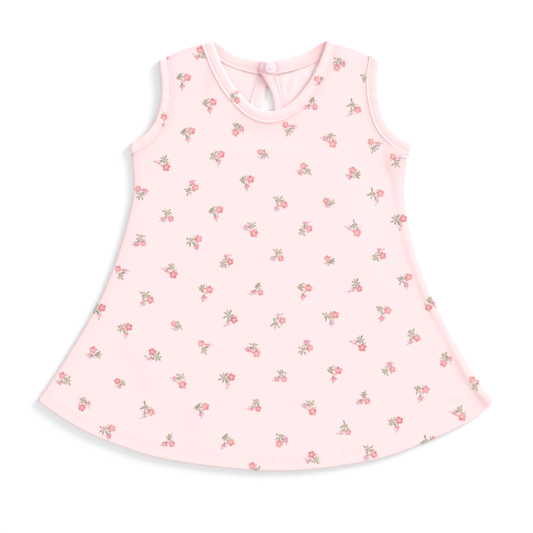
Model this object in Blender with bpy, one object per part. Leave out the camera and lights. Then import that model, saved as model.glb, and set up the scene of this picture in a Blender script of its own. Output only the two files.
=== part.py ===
"""A-line dress for a baby, in cotton jersey, laid flat on its back with the front up.

A front and a back panel meet at the shoulders and the side seams. Folded strips of the same
cloth bind the neck, both armholes and the keyhole slit at centre back, and a plastic press
stud holds the lapped ends of the neck binding. Lengths are in metres: X runs across the
dress, +Y runs up it to the neck, and +Z rises from the surface that it lies on.
"""

import math

import bmesh
import bpy
import numpy as np
from mathutils import Vector
from mathutils.geometry import delaunay_2d_cdt

# Cloth
WALL = 0.0012  # one layer of jersey
DOUBLE_WALL = 0.0018  # two layers, at a turned-up hem or a pressed seam allowance
BINDING = 0.0018  # a binding strip, folded
GAP = 0.0003  # between pieces at a seam, and between cloths that touch
RIM = 0.0004  # how far a cloth's cut or folded edge rounds out
HEM_DEPTH = 0.012
ALLOWANCE = 0.007  # seam allowance pressed inside along the sides and the shoulders
STEP_RUN = 0.002  # the run over which an inner layer ends

# Outline, as (x, y) or with named columns, in the order that runs clockwise round the dress
NECK_POINT_LEFT = (-0.0505, 0.2020)
NECK_POINT_RIGHT = (0.0572, 0.2020)
SHOULDER_TIP_LEFT = (-0.1010, 0.1830)
SHOULDER_TIP_RIGHT = (0.1070, 0.1834)

# height y, left x, right x, from the hem corner up to the armhole binding
SIDE_SEAMS = (
    (-0.1363, -0.2143, 0.2143),
    (-0.1175, -0.2012, 0.2002),
    (-0.0800, -0.1776, 0.1780),
    (-0.0423, -0.1563, 0.1580),
    (-0.0047, -0.1410, 0.1438),
    (0.0330, -0.1298, 0.1344),
    (0.0611, -0.1244, 0.1314),
    (0.0912, -0.1260, 0.1325),
)
# height y, left x, right x, from the underarm up to the shoulder tip
ARMHOLES = (
    (0.1036, -0.1283, 0.1354),
    (0.1090, -0.1194, 0.1272),
    (0.1166, -0.1106, 0.1184),
    (0.1278, -0.1034, 0.1109),
    (0.1457, -0.0987, 0.1062),
    (0.1645, -0.0985, 0.1048),
)
FRONT_NECK = (
    NECK_POINT_LEFT,
    (-0.0470, 0.1927),
    (-0.0414, 0.1786),
    (-0.0329, 0.1626),
    (-0.0235, 0.1504),
    (-0.0113, 0.1392),
    (0.0019, 0.1348),
    (0.0160, 0.1382),
    (0.0282, 0.1476),
    (0.0395, 0.1617),
    (0.0479, 0.1767),
    (0.0536, 0.1908),
    NECK_POINT_RIGHT,
)
BACK_NECK = (
    NECK_POINT_LEFT,
    (-0.0432, 0.1965),
    (-0.0301, 0.1876),
    (-0.0141, 0.1830),
    (0.0019, 0.1812),
    (0.0160, 0.1832),
    (0.0301, 0.1872),
    (0.0432, 0.1930),
    NECK_POINT_RIGHT,
)
HEM = (
    (0.2143, -0.1363),
    (0.2092, -0.1424),
    (0.1927, -0.1551),
    (0.1532, -0.1739),
    (0.0987, -0.1927),
    (0.0113, -0.2026),
    (-0.0884, -0.1927),
    (-0.1504, -0.1739),
    (-0.1880, -0.1551),
    (-0.2143, -0.1363),
)

# Widths of the bindings
NECK_WIDTH = 0.0110
ARMHOLE_WIDTH_LEFT = 0.0098
ARMHOLE_WIDTH_RIGHT = 0.0108
TURN_RUN = 0.014  # the run over which a binding's section turns to lie along a seam
TURN_ANGLES = (54, 18, -18, -54)  # degrees, the sections of the turn itself

# Keyhole slit: height y, left slit edge, left seam, right slit edge, right seam, and the
# height of the right leg's underside at its slit edge and at its seam, where it laps the left
KEYHOLE = (
    (0.1697, 0.0062, -0.0069, -0.0052, 0.0100, 0.0026, 0.0016),
    (0.1645, 0.0045, -0.0083, -0.0021, 0.0110, 0.0025, 0.0012),
    (0.1592, 0.0017, -0.0103, 0.0011, 0.0124, 0.0024, 0.0008),
    (0.1542, 0.0000, -0.0120, 0.0040, 0.0135, 0.0014, 0.0004),
    (0.1476, -0.0014, -0.0139, 0.0061, 0.0150, 0.0005, 0.0001),
    (0.1410, -0.0022, -0.0154, 0.0072, 0.0162, 0.0, 0.0),
    (0.1344, -0.0021, -0.0160, 0.0077, 0.0174, 0.0, 0.0),
)
FOOT_STEPS = 10
PUCKER = (0.0130, 0.1680, 0.0090, 0.0015)  # x, y, spread and rise of the back by the lap

# Press stud and the lapped ends that it holds
STUD_CENTRE = (0.0042, 0.1753)
STUD_RADIUS = 0.00525
HEAD = 0.0008  # the outer half's head, under the cloth
CAP = 0.0013  # the inner half's thickness
POST_RADIUS = 0.0015
POST_HOLE_RADIUS = 0.0018
POST_REACH = 0.0006  # how far the post goes up into the cap
DISH_RADIUS = 0.0030  # a ring pressed into the cap's top
DISH_SLOPE = 0.0004
DISH_DEPTH = 0.0002
STUD_ROUND = 0.0003  # rounding of the stud's edges
LEFT_END = 0.0094  # x where the left, lower end of the neck binding stops
RIGHT_END = -0.0075  # x where the right, upper end stops
CLIMB_RUN = 0.014  # the run over which both ends climb to the stud
LAP_RUN = 0.011  # the run over which the right end comes down off the left one
LAP_CLEAR = 0.0010  # how far past the left end it stays up
STUD_SIDES = 28

# Heights of the front above the surface
FRONT_LOW = BINDING + GAP
FRONT_SEAM_TOP = FRONT_LOW + WALL
FRONT_BINDING_TOP = FRONT_LOW + BINDING
BINDING_STEP = 0.0003  # how far a binding stands above the panel next to it
SEAM_ROLL = 0.008
BINDING_ROLL = 0.012
PUFF = 0.0015
PUFF_RUN = 0.050
# The allowance inside the right side seam: distance from the seam, spread, rise
SIDE_RIDGE = (0.0050, 0.0055, 0.0011)
SIDE_VALLEY = (0.0170, 0.0110, -0.0009)
# Soft folds of the front: x, y, turn in degrees, half length, half width, rise
FOLDS = (
    (-0.015, 0.094, 2, 0.060, 0.008, 0.0007),
    (0.112, 0.076, 52, 0.034, 0.011, -0.0009),
    (-0.104, 0.088, -38, 0.030, 0.011, 0.0006),
    (0.008, 0.112, 4, 0.030, 0.008, -0.0006),
    (-0.128, -0.012, 62, 0.060, 0.016, 0.0007),
    (0.088, 0.006, -72, 0.070, 0.018, 0.0006),
    (-0.046, -0.052, 84, 0.066, 0.017, -0.0006),
    (0.030, -0.074, 96, 0.060, 0.018, 0.0007),
    (0.136, -0.118, 40, 0.036, 0.011, 0.0009),
    (-0.126, -0.122, 118, 0.040, 0.014, -0.0007),
    (-0.062, -0.150, 100, 0.032, 0.013, 0.0008),
    (0.078, -0.146, 74, 0.034, 0.013, -0.0007),
)

# Steps along each edge, and spacing of the panels' points
SIDE_STEPS = 26
ARMHOLE_STEPS = 18
NECK_STEPS = 40
BACK_NECK_STEPS = 13
HEM_STEPS = 48
SHOULDER_STEPS = 4
KEYHOLE_STEPS = 9
CURVE_CUTS = 24
FRONT_SPACING = 0.0135
BACK_SPACING = 0.026
UNDER_SHARE = 12  # one point in so many is kept on an underside that lies flat
ROW_KEPT = 0.9  # a row's point stays this share of its depth clear of the outline
FIELD_CLEAR = 0.45  # the even field starts this share of its spacing inside the last row
ROW_NEAREST = 0.4  # least distance between points, as a share of the spacing, in the rows
FIELD_NEAREST = 0.7  # and in the field
LEAST_LEAN = 0.5  # keeps a moved corner from running away
SHARP_DEGREES = 50  # edges sharper than this are shaded as edges
FRONT_ROWS = (0.0045, 0.0100, 0.0170)
BACK_ROWS = (ALLOWANCE, ALLOWANCE + STEP_RUN)

# Section of a folded binding: fraction across from its fold to its seam, fraction of height
BINDING_SECTION = (
    (0.00, 0.50),
    (0.05, 0.86),
    (0.16, 1.00),
    (0.90, 1.00),
    (1.00, 0.80),
    (1.00, 0.20),
    (0.90, 0.00),
    (0.16, 0.00),
    (0.05, 0.14),
)


def clear_scene():
    for item in list(bpy.data.objects):
        bpy.data.objects.remove(item, do_unlink=True)


def cloth_material(name, colour, roughness):
    material = bpy.data.materials.new(name)
    material.use_nodes = True
    shader = material.node_tree.nodes["Principled BSDF"]
    shader.inputs["Base Color"].default_value = (*colour, 1.0)
    shader.inputs["Roughness"].default_value = roughness
    shader.inputs["Metallic"].default_value = 0.0
    material.diffuse_color = (*colour, 1.0)
    return material


def add_object(name, mesh_builder, material):
    """An object from a bmesh, its faces turned outwards and shaded smooth."""
    bmesh.ops.recalc_face_normals(mesh_builder, faces=mesh_builder.faces)
    mesh = bpy.data.meshes.new(name)
    mesh_builder.to_mesh(mesh)
    mesh_builder.free()
    mesh.shade_smooth()
    mesh.set_sharp_from_angle(angle=math.radians(SHARP_DEGREES))
    mesh.materials.append(material)
    item = bpy.data.objects.new(name, mesh)
    bpy.context.collection.objects.link(item)
    return item


def curve(knots, steps):
    """A smooth curve through the knots, as steps + 1 points spaced evenly along it."""
    knots = np.array(knots, float)
    ends = np.vstack([2 * knots[0] - knots[1], knots, 2 * knots[-1] - knots[-2]])
    t = np.linspace(0.0, 1.0, CURVE_CUTS, endpoint=False)[:, None]
    fine = []
    for before, start, end, after in zip(ends, ends[1:], ends[2:], ends[3:]):
        slope = end - before
        bend = 2 * before - 5 * start + 4 * end - after
        twist = 3 * (start - end) + after - before
        fine.append(start + 0.5 * t * (slope + t * (bend + t * twist)))
    fine = np.vstack(fine + [knots[-1:]])
    lengths = np.append(0.0, np.cumsum(np.linalg.norm(np.diff(fine, axis=0), axis=1)))
    places = np.linspace(0.0, lengths[-1], steps + 1)
    return np.column_stack([np.interp(places, lengths, fine[:, i]) for i in (0, 1)])


def unit(vector):
    return np.array(vector) / np.linalg.norm(vector)


def right_of(direction):
    """Directions turned a quarter clockwise: into the cloth, on a path clockwise round it."""
    return np.stack([direction[..., 1], -direction[..., 0]], axis=-1)


def into_cloth(edge, first, last):
    """One direction into the cloth for each point of an edge, turned to lie along a seam at
    its ends."""
    inwards = right_of(np.gradient(edge, axis=0))
    inwards /= np.linalg.norm(inwards, axis=1)[:, None]
    steps = np.linalg.norm(np.diff(edge, axis=0), axis=1)
    from_start = np.append(0.0, np.cumsum(steps))
    for seam, run in ((first, from_start), (last, from_start[-1] - from_start)):
        if seam is not None:
            share = (1.0 - swell(run, TURN_RUN))[:, None]
            inwards = inwards * (1.0 - share) + np.array(seam) * share
    return inwards / np.linalg.norm(inwards, axis=1)[:, None]


def swell(distance, reach):
    """0 at no distance, rising smoothly to 1 at the reach."""
    t = np.clip(distance / reach, 0.0, 1.0)
    return t * t * (3.0 - 2.0 * t)


def bump(distance, centre, spread):
    """A smooth hump, 1 at its centre."""
    return np.exp(-(((distance - centre) / spread) ** 2))


def distance(points, path):
    """Distance from each point to a path of straight steps."""
    starts = path[:-1]
    steps = np.diff(path, axis=0)
    offsets = points[:, None, :] - starts[None]
    along = np.clip((offsets * steps).sum(-1) / (steps**2).sum(-1), 0.0, 1.0)
    return np.linalg.norm(offsets - along[..., None] * steps, axis=-1).min(axis=1)


def closed(path):
    return np.vstack([path, path[:1]])


def inside(points, outline):
    """Whether each point lies inside a closed outline."""
    found = np.zeros(len(points), bool)
    for (x1, y1), (x2, y2) in zip(outline, np.roll(outline, -1, axis=0)):
        if y1 == y2:
            continue
        crosses = (points[:, 1] < y1) != (points[:, 1] < y2)
        reach = x1 + (points[:, 1] - y1) * (x2 - x1) / (y2 - y1)
        found ^= crosses & (points[:, 0] < reach)
    return found


def moved_in(outline, depth):
    """A clockwise outline moved into the cloth by a depth."""
    before = unit_rows(outline - np.roll(outline, 1, axis=0))
    after = unit_rows(np.roll(outline, -1, axis=0) - outline)
    inwards = unit_rows(right_of(before) + right_of(after))
    lean = (inwards * right_of(before)).sum(axis=1)
    return outline + inwards * (depth / np.maximum(lean, LEAST_LEAN))[:, None]


def unit_rows(vectors):
    return vectors / np.linalg.norm(vectors, axis=1)[:, None]


def inner_points(outline, rows, spacing):
    """Points inside an outline: rows that follow it, then an even field of points."""
    ring = closed(outline)
    fields = []
    for depth in rows:
        row = moved_in(outline, depth)
        fields.append(row[distance(row, ring) > ROW_KEPT * depth])
    low = outline.min(axis=0)
    high = outline.max(axis=0)
    rise = spacing * math.sqrt(3) / 2
    for i, y in enumerate(np.arange(low[1] + rise / 2, high[1], rise)):
        xs = np.arange(low[0] + spacing * (0.25 + 0.5 * (i % 2)), high[0], spacing)
        row = np.column_stack([xs, np.full(len(xs), y)])
        fields.append(row[distance(row, ring) > rows[-1] + FIELD_CLEAR * spacing])
    kept = []
    for i, field in enumerate(fields):
        nearest = spacing * (ROW_NEAREST if i < len(rows) else FIELD_NEAREST)
        for point in field[inside(field, outline)]:
            if not kept or np.hypot(*(np.array(kept) - point).T).min() > nearest:
                kept.append(point)
    return np.array(kept)


def triangles_over(outline, inner):
    """Triangles over an outline, with its own points first and the inner ones after them."""
    points = [Vector(point) for point in np.vstack([outline, inner])]
    border = list(range(len(outline)))
    places, _, faces, origins, _, _ = delaunay_2d_cdt(points, [], [border], 1, 1e-7)
    index = {i: found[0] for i, found in enumerate(origins) if found}
    assert len(index) == len(places) == len(points)
    return [[index[i] for i in face] for face in faces]


def panel(name, outline, rows, spacing, top_of, bottom_of, material, plain_under=False):
    """A cloth wall over an outline, between two height functions, with a rounded edge."""
    border = moved_in(outline, RIM)
    inner = inner_points(border, rows, spacing)
    under_inner = inner[::UNDER_SHARE] if plain_under else inner
    shape = bmesh.new()
    upper_places = np.vstack([border, inner])
    lower_places = np.vstack([border, under_inner])
    tops = top_of(upper_places)
    bottoms = bottom_of(lower_places)
    count = len(border)
    middles = (tops[:count] + bottoms[:count]) / 2
    upper = [shape.verts.new((*p, z)) for p, z in zip(upper_places, tops)]
    lower = [shape.verts.new((*p, z)) for p, z in zip(lower_places, bottoms)]
    edge = [shape.verts.new((*p, z)) for p, z in zip(outline, middles)]
    for corners, points in ((upper, upper_places), (lower, lower_places)):
        for face in triangles_over(border, points[count:]):
            shape.faces.new([corners[i] for i in face])
    for i in range(count):
        j = (i + 1) % count
        shape.faces.new((upper[i], upper[j], edge[j], edge[i]))
        shape.faces.new((edge[i], edge[j], lower[j], lower[i]))
    return add_object(name, shape, material)


def loft(name, rings, is_loop, material):
    """A solid through rings of points, closed on itself or capped at its two ends."""
    shape = bmesh.new()
    rows = [[shape.verts.new(point) for point in ring] for ring in rings]
    pairs = list(zip(rows, rows[1:]))
    if is_loop:
        pairs.append((rows[-1], rows[0]))
    else:
        shape.faces.new(rows[0])
        shape.faces.new(rows[-1][::-1])
    for first, second in pairs:
        for i in range(len(first)):
            j = (i + 1) % len(first)
            shape.faces.new((first[i], first[j], second[j], second[i]))
    return add_object(name, shape, material)


def flat_ring(fold, seam, fold_low, seam_low, face_up):
    """A binding's section, flat, its right side up on the front and down on the back."""
    ring = []
    for across, height in BINDING_SECTION:
        x, y = fold + (seam - fold) * across
        low = fold_low if across < 0.5 else seam_low
        ring.append((x, y, low + BINDING * (height if face_up else 1.0 - height)))
    return ring


def turning_rings(fold, seam, outwards, front_first):
    """Sections round the turn where a binding passes from one layer to the other."""
    middle = FRONT_BINDING_TOP / 2
    mean = middle - BINDING / 2
    rings = []
    for degrees in TURN_ANGLES:
        angle = math.radians(degrees if front_first else -degrees)
        ring = []
        for across, height in BINDING_SECTION:
            radius = mean + BINDING * (height - 0.5)
            x, y = fold + (seam - fold) * across + outwards * radius * math.cos(angle)
            ring.append((x, y, middle + radius * math.sin(angle)))
        rings.append(ring)
    return rings


def side(table, column):
    return [(row[column], row[0]) for row in table]


# Edges of the dress
LEFT, RIGHT = 1, 2
TURN_REACH = FRONT_BINDING_TOP / 2
side_left = curve(side(SIDE_SEAMS, LEFT), SIDE_STEPS)
side_right = curve(side(SIDE_SEAMS, RIGHT)[::-1], SIDE_STEPS)
hem = curve(HEM, HEM_STEPS)
armhole_left = curve(side(ARMHOLES, LEFT) + [SHOULDER_TIP_LEFT], ARMHOLE_STEPS)
armhole_right = curve([SHOULDER_TIP_RIGHT] + side(ARMHOLES, RIGHT)[::-1], ARMHOLE_STEPS)
front_neck = curve(FRONT_NECK, NECK_STEPS)
back_neck = curve(BACK_NECK, NECK_STEPS * CURVE_CUTS)

# Directions along the shoulder seams to the neck, and down the side seams, and their turns
shoulder_left = unit(np.subtract(NECK_POINT_LEFT, SHOULDER_TIP_LEFT))
shoulder_right = unit(np.subtract(NECK_POINT_RIGHT, SHOULDER_TIP_RIGHT))
underarm_left = side_left[-1] - armhole_left[0]
underarm_right = side_right[0] - armhole_right[-1]


class Binding:
    """One stretch of binding on one layer: its folded edge, its seam edge, and the panel's."""

    def __init__(self, edge, width, first=None, last=None):
        self.edge = edge
        self.inwards = into_cloth(edge, first, last)
        self.seam = edge + self.inwards * width

    def panel_edge(self):
        return self.seam + self.inwards * GAP

    def rings(self, low, face_up):
        lows = np.broadcast_to(low, len(self.edge))
        return [
            flat_ring(fold, seam, height, height, face_up)
            for fold, seam, height in zip(self.edge, self.seam, lows)
        ]


def drawn_back(edge, at_start, at_end):
    """An edge with its ends drawn back, to leave room for a turn."""
    edge = edge.copy()
    if at_start is not None:
        edge[0] += at_start * TURN_REACH
    if at_end is not None:
        edge[-1] += at_end * TURN_REACH
    return edge


def back_neck_between(first_x, last_x, steps):
    """The back neck edge from one x to another."""
    xs = np.linspace(first_x, last_x, steps + 1)
    return np.column_stack([xs, np.interp(xs, back_neck[:, 0], back_neck[:, 1])])


# Inward normals of the shoulder and side seams: where a turning binding draws back to
below_left = right_of(shoulder_left)
below_right = -right_of(shoulder_right)
beside_left = -right_of(unit(underarm_left))
beside_right = right_of(unit(underarm_right))

arm_left = Binding(
    drawn_back(armhole_left, beside_left, below_left),
    ARMHOLE_WIDTH_LEFT,
    unit(underarm_left),
    shoulder_left,
)
arm_right = Binding(
    drawn_back(armhole_right, below_right, beside_right),
    ARMHOLE_WIDTH_RIGHT,
    shoulder_right,
    unit(underarm_right),
)
neck_front = Binding(
    drawn_back(front_neck, below_left, below_right),
    NECK_WIDTH,
    -shoulder_left,
    -shoulder_right,
)
neck_back_left = Binding(
    drawn_back(
        back_neck_between(NECK_POINT_LEFT[0], LEFT_END, BACK_NECK_STEPS), below_left, None
    ),
    NECK_WIDTH,
    first=-shoulder_left,
)
neck_back_right = Binding(
    drawn_back(
        back_neck_between(RIGHT_END, NECK_POINT_RIGHT[0], BACK_NECK_STEPS), None, below_right
    ),
    NECK_WIDTH,
    last=-shoulder_right,
)


# Columns of the keyhole's table
SLIT_COLUMNS = (1, 3)
SEAM_COLUMNS = (2, 4)
SLIT_LOW, SEAM_LOW = 5, 6


def keyhole_edge(columns, gap=0.0):
    """One edge of the keyhole's binding, from the neck down one leg, round the foot, and up
    the other leg."""
    left_column, right_column = columns
    left = curve([(row[left_column] - gap, row[0]) for row in KEYHOLE], KEYHOLE_STEPS)
    right = curve([(row[right_column] + gap, row[0]) for row in KEYHOLE], KEYHOLE_STEPS)
    centre = (left[-1] + right[-1]) / 2
    radius = np.linalg.norm(right[-1] - left[-1]) / 2
    turns = np.linspace(math.pi, 2 * math.pi, FOOT_STEPS + 1)[1:-1]
    foot = centre + radius * np.column_stack([np.cos(turns), np.sin(turns)])
    return np.vstack([left, foot, right[::-1]])


# Outlines of the panels, clockwise from the left hem corner
def shoulder_between(tip, neck_point, along, armhole_width):
    """A panel's shoulder edge, between the armhole binding and the neck binding."""
    start = np.array(tip) + along * (armhole_width + GAP)
    end = np.array(neck_point) - along * (NECK_WIDTH + GAP)
    return np.linspace(start, end, SHOULDER_STEPS + 1)


def below_armhole(side_seam, underarm, corner):
    """A side seam, stopped just short of the armhole binding."""
    seam = side_seam.copy()
    seam[corner] += unit(underarm) * GAP
    return seam


left_shoulder = shoulder_between(
    SHOULDER_TIP_LEFT, NECK_POINT_LEFT, shoulder_left, ARMHOLE_WIDTH_LEFT
)
right_shoulder = shoulder_between(
    SHOULDER_TIP_RIGHT, NECK_POINT_RIGHT, shoulder_right, ARMHOLE_WIDTH_RIGHT
)[::-1]
sides_up = np.vstack(
    [below_armhole(side_left, underarm_left, -1), arm_left.panel_edge(), left_shoulder]
)
sides_down = np.vstack(
    [right_shoulder, arm_right.panel_edge(), below_armhole(side_right, underarm_right, 0)]
)
front_outline = np.vstack([sides_up, neck_front.panel_edge(), sides_down, hem[1:-1]])

slit = keyhole_edge(SEAM_COLUMNS, GAP)
neck_left = neck_back_left.panel_edge()
neck_right = neck_back_right.panel_edge()
back_outline = np.vstack(
    [
        sides_up,
        neck_left[neck_left[:, 0] < slit[0, 0] - ALLOWANCE / 2],
        slit,
        neck_right[neck_right[:, 0] > slit[-1, 0] + ALLOWANCE / 2],
        sides_down,
        hem[1:-1],
    ]
)


def to_seams(points):
    """Distance to the nearest side or shoulder seam."""
    seams = (side_left, side_right, left_shoulder, right_shoulder)
    return np.min([distance(points, seam) for seam in seams], axis=0)


def to_bindings(points):
    """Distance to the nearest binding of the front."""
    bindings = (arm_left.seam, arm_right.seam, neck_front.seam)
    return np.min([distance(points, seam) for seam in bindings], axis=0)


def hem_share(points):
    """1 over the turned-up hem and 0 above it."""
    return 1.0 - swell(distance(points, hem) - HEM_DEPTH, STEP_RUN)


def fold_height(points):
    """The soft folds of the front."""
    height = np.zeros(len(points))
    for x, y, turn, half_length, half_width, rise in FOLDS:
        along = np.array((math.cos(math.radians(turn)), math.sin(math.radians(turn))))
        offsets = points - (x, y)
        length = offsets @ along
        width = offsets @ right_of(along)
        height += rise * bump(length, 0.0, half_length) * bump(width, 0.0, half_width)
    return height


def back_top(points):
    allowance = 1.0 - swell(to_seams(points) - ALLOWANCE, STEP_RUN)
    doubled = np.maximum(allowance, hem_share(points))
    x, y, spread, rise = PUCKER
    pucker = rise * bump(np.hypot(*(points - (x, y)).T), 0.0, spread)
    return WALL + (DOUBLE_WALL - WALL) * doubled + pucker


def front_wall(points):
    return WALL + (DOUBLE_WALL - WALL) * hem_share(points)


def front_top(points):
    seams = to_seams(points)
    bindings = to_bindings(points)
    edges = np.minimum(np.minimum(seams, bindings), distance(points, hem))
    height = FRONT_SEAM_TOP + (FRONT_BINDING_TOP - FRONT_SEAM_TOP) * swell(seams, SEAM_ROLL)
    height -= BINDING_STEP * (1.0 - swell(bindings, BINDING_ROLL))
    height += PUFF * swell(edges, PUFF_RUN)
    height += fold_height(points) * swell(edges, BINDING_ROLL)
    from_side = distance(points, side_right)
    below_arm = swell(underarm_edge - points[:, 1], SEAM_ROLL)
    for centre, spread, rise in (SIDE_RIDGE, SIDE_VALLEY):
        height += rise * bump(from_side, centre, spread) * below_arm
    lowest = back_top(points) + GAP + front_wall(points)
    return np.maximum(height, lowest)


def front_bottom(points):
    return front_top(points) - front_wall(points)


def on_surface(points):
    return np.zeros(len(points))


underarm_edge = side_right[0][1]


def build_panels(cloth, cloth_inside):
    panel(
        "front_panel", front_outline, FRONT_ROWS, FRONT_SPACING, front_top, front_bottom, cloth
    )
    panel(
        "back_panel",
        back_outline,
        BACK_ROWS,
        BACK_SPACING,
        back_top,
        on_surface,
        cloth_inside,
        plain_under=True,
    )


def build_armhole_binding(name, binding, at_first, at_last, material):
    """A loop: the front stretch, over the turn at one seam, the back stretch, and the turn at
    the other."""
    front = binding.rings(FRONT_LOW, face_up=True)
    back = binding.rings(0.0, face_up=False)[::-1]
    edge, seam = binding.edge, binding.seam
    rings = front + turning_rings(edge[-1], seam[-1], -at_last, True)
    rings += back + turning_rings(edge[0], seam[0], -at_first, False)
    loft(name, rings, True, material)


def left_end_low(x):
    """Heights under the left end, which climbs onto the stud's outer head."""
    return (HEAD + GAP) * (1.0 - swell(np.abs(x - STUD_CENTRE[0]) - STUD_RADIUS, CLIMB_RUN))


def right_end_low(x):
    """Heights under the right end, which lies on the left end and comes down past it."""
    lap = 1.0 - swell(x - LEFT_END - LAP_CLEAR, LAP_RUN)
    return left_end_low(x) + (BINDING + GAP) * lap


def build_neck_binding(material):
    """One strip from the left end, under the lap, round the front, to the right end over it."""
    left_lows = left_end_low(neck_back_left.edge[:, 0])
    right_lows = right_end_low(neck_back_right.edge[:, 0])
    rings = neck_back_left.rings(left_lows, face_up=False)[::-1]
    edge, seam = neck_front.edge, neck_front.seam
    rings += turning_rings(edge[0], seam[0], -below_left, False)
    rings += neck_front.rings(FRONT_LOW, face_up=True)
    rings += turning_rings(edge[-1], seam[-1], -below_right, True)
    rings += neck_back_right.rings(right_lows, face_up=False)[::-1]
    return loft("neck_binding", rings, False, material)


def build_keyhole_binding(material):
    folds = keyhole_edge(SLIT_COLUMNS)
    seams = keyhole_edge(SEAM_COLUMNS)
    rows = np.array(KEYHOLE[::-1])
    lapped = len(folds) - KEYHOLE_STEPS - 1
    rings = []
    for i, (fold, seam) in enumerate(zip(folds, seams)):
        fold_low = seam_low = 0.0
        if i >= lapped:
            fold_low = np.interp(fold[1], rows[:, 0], rows[:, SLIT_LOW])
            seam_low = np.interp(fold[1], rows[:, 0], rows[:, SEAM_LOW])
        rings.append(flat_ring(fold, seam, fold_low, seam_low, face_up=False))
    return loft("keyhole_binding", rings, False, material)


def turned(name, profile, material):
    """A round piece about the stud's centre, from (radius, height) pairs off the axis."""
    shape = bmesh.new()
    rings = []
    for radius, height in profile:
        ring = []
        for i in range(STUD_SIDES if radius > 0.0 else 1):
            angle = 2 * math.pi * i / STUD_SIDES
            x = STUD_CENTRE[0] + radius * math.cos(angle)
            y = STUD_CENTRE[1] + radius * math.sin(angle)
            ring.append(shape.verts.new((x, y, height)))
        rings.append(ring)
    for first, second in zip(rings, rings[1:]):
        for i in range(STUD_SIDES):
            j = (i + 1) % STUD_SIDES
            corners = [first[i % len(first)], first[j % len(first)]]
            corners += [second[j % len(second)], second[i % len(second)]]
            shape.faces.new(list(dict.fromkeys(corners)))
    return add_object(name, shape, material)


def build_press_stud(neck_binding, plastic):
    """The outer half has its head under the cloth and a post up through both ends of the
    binding, into the inner half."""
    left_top = HEAD + GAP + BINDING
    cap_low = left_top + GAP + BINDING + GAP
    post_top = cap_low + POST_REACH
    well_top = post_top + GAP
    cap_top = cap_low + CAP
    turned(
        "snap_outer",
        (
            (0.0, 0.0),
            (STUD_RADIUS - STUD_ROUND, 0.0),
            (STUD_RADIUS, STUD_ROUND),
            (STUD_RADIUS - STUD_ROUND, HEAD),
            (POST_RADIUS, HEAD),
            (POST_RADIUS, post_top - STUD_ROUND),
            (POST_RADIUS - STUD_ROUND, post_top),
            (0.0, post_top),
        ),
        plastic,
    )
    turned(
        "snap_inner",
        (
            (0.0, well_top),
            (POST_HOLE_RADIUS, well_top),
            (POST_HOLE_RADIUS, cap_low),
            (STUD_RADIUS - STUD_ROUND, cap_low),
            (STUD_RADIUS, cap_low + STUD_ROUND),
            (STUD_RADIUS - STUD_ROUND, cap_top - STUD_ROUND),
            (STUD_RADIUS - 3 * STUD_ROUND, cap_top),
            (DISH_RADIUS + DISH_SLOPE, cap_top),
            (DISH_RADIUS, cap_top - DISH_DEPTH),
            (DISH_RADIUS - DISH_SLOPE, cap_top),
            (0.0, cap_top),
        ),
        plastic,
    )
    cutter = turned(
        "post_hole",
        (
            (0.0, HEAD / 2),
            (POST_HOLE_RADIUS, HEAD / 2),
            (POST_HOLE_RADIUS, cap_top),
            (0.0, cap_top),
        ),
        plastic,
    )
    cutter.hide_render = True
    cutter.display_type = "WIRE"
    hole = neck_binding.modifiers.new("post hole", "BOOLEAN")
    hole.operation = "DIFFERENCE"
    hole.object = cutter


clear_scene()
jersey = cloth_material("pink jersey", (0.96, 0.79, 0.79), 0.9)
jersey_inside = cloth_material("pink jersey, wrong side", (0.97, 0.84, 0.84), 0.92)
binding_cloth = cloth_material("pink jersey binding", (0.95, 0.76, 0.76), 0.88)
stud_plastic = cloth_material("clear pink plastic", (0.97, 0.88, 0.88), 0.3)
build_panels(jersey, jersey_inside)
build_armhole_binding(
    "armhole_binding_left", arm_left, beside_left, below_left, binding_cloth
)
build_armhole_binding(
    "armhole_binding_right", arm_right, below_right, beside_right, binding_cloth
)
build_keyhole_binding(binding_cloth)
build_press_stud(build_neck_binding(binding_cloth), stud_plastic)
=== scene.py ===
"""Looks of a baby's sleeveless A-line dress in rose-printed cotton jersey, laid flat, front up.

Each section makes one cut piece, or a group of like pieces, in the order in which the dress is
put together: table and light, front, back, armhole bindings, neck binding, keyhole binding,
thread, press stud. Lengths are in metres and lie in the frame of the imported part.
"""

import math

import bmesh
import bpy
import numpy as np
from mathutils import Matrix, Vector
from mathutils.geometry import delaunay_2d_cdt


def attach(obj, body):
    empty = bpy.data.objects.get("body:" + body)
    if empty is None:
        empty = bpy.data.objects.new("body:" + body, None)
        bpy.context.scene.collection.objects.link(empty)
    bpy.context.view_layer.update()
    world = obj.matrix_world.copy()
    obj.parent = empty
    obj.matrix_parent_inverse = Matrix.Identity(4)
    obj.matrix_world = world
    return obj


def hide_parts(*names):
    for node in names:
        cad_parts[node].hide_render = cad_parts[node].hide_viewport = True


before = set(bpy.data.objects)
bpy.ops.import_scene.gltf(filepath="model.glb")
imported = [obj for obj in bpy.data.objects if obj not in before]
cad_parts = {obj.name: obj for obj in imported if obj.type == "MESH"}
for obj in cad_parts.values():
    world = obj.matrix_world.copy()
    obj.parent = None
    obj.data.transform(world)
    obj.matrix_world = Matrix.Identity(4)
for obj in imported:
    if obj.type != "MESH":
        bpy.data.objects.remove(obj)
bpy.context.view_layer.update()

bpy.ops.object.select_all(action="DESELECT")


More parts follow.
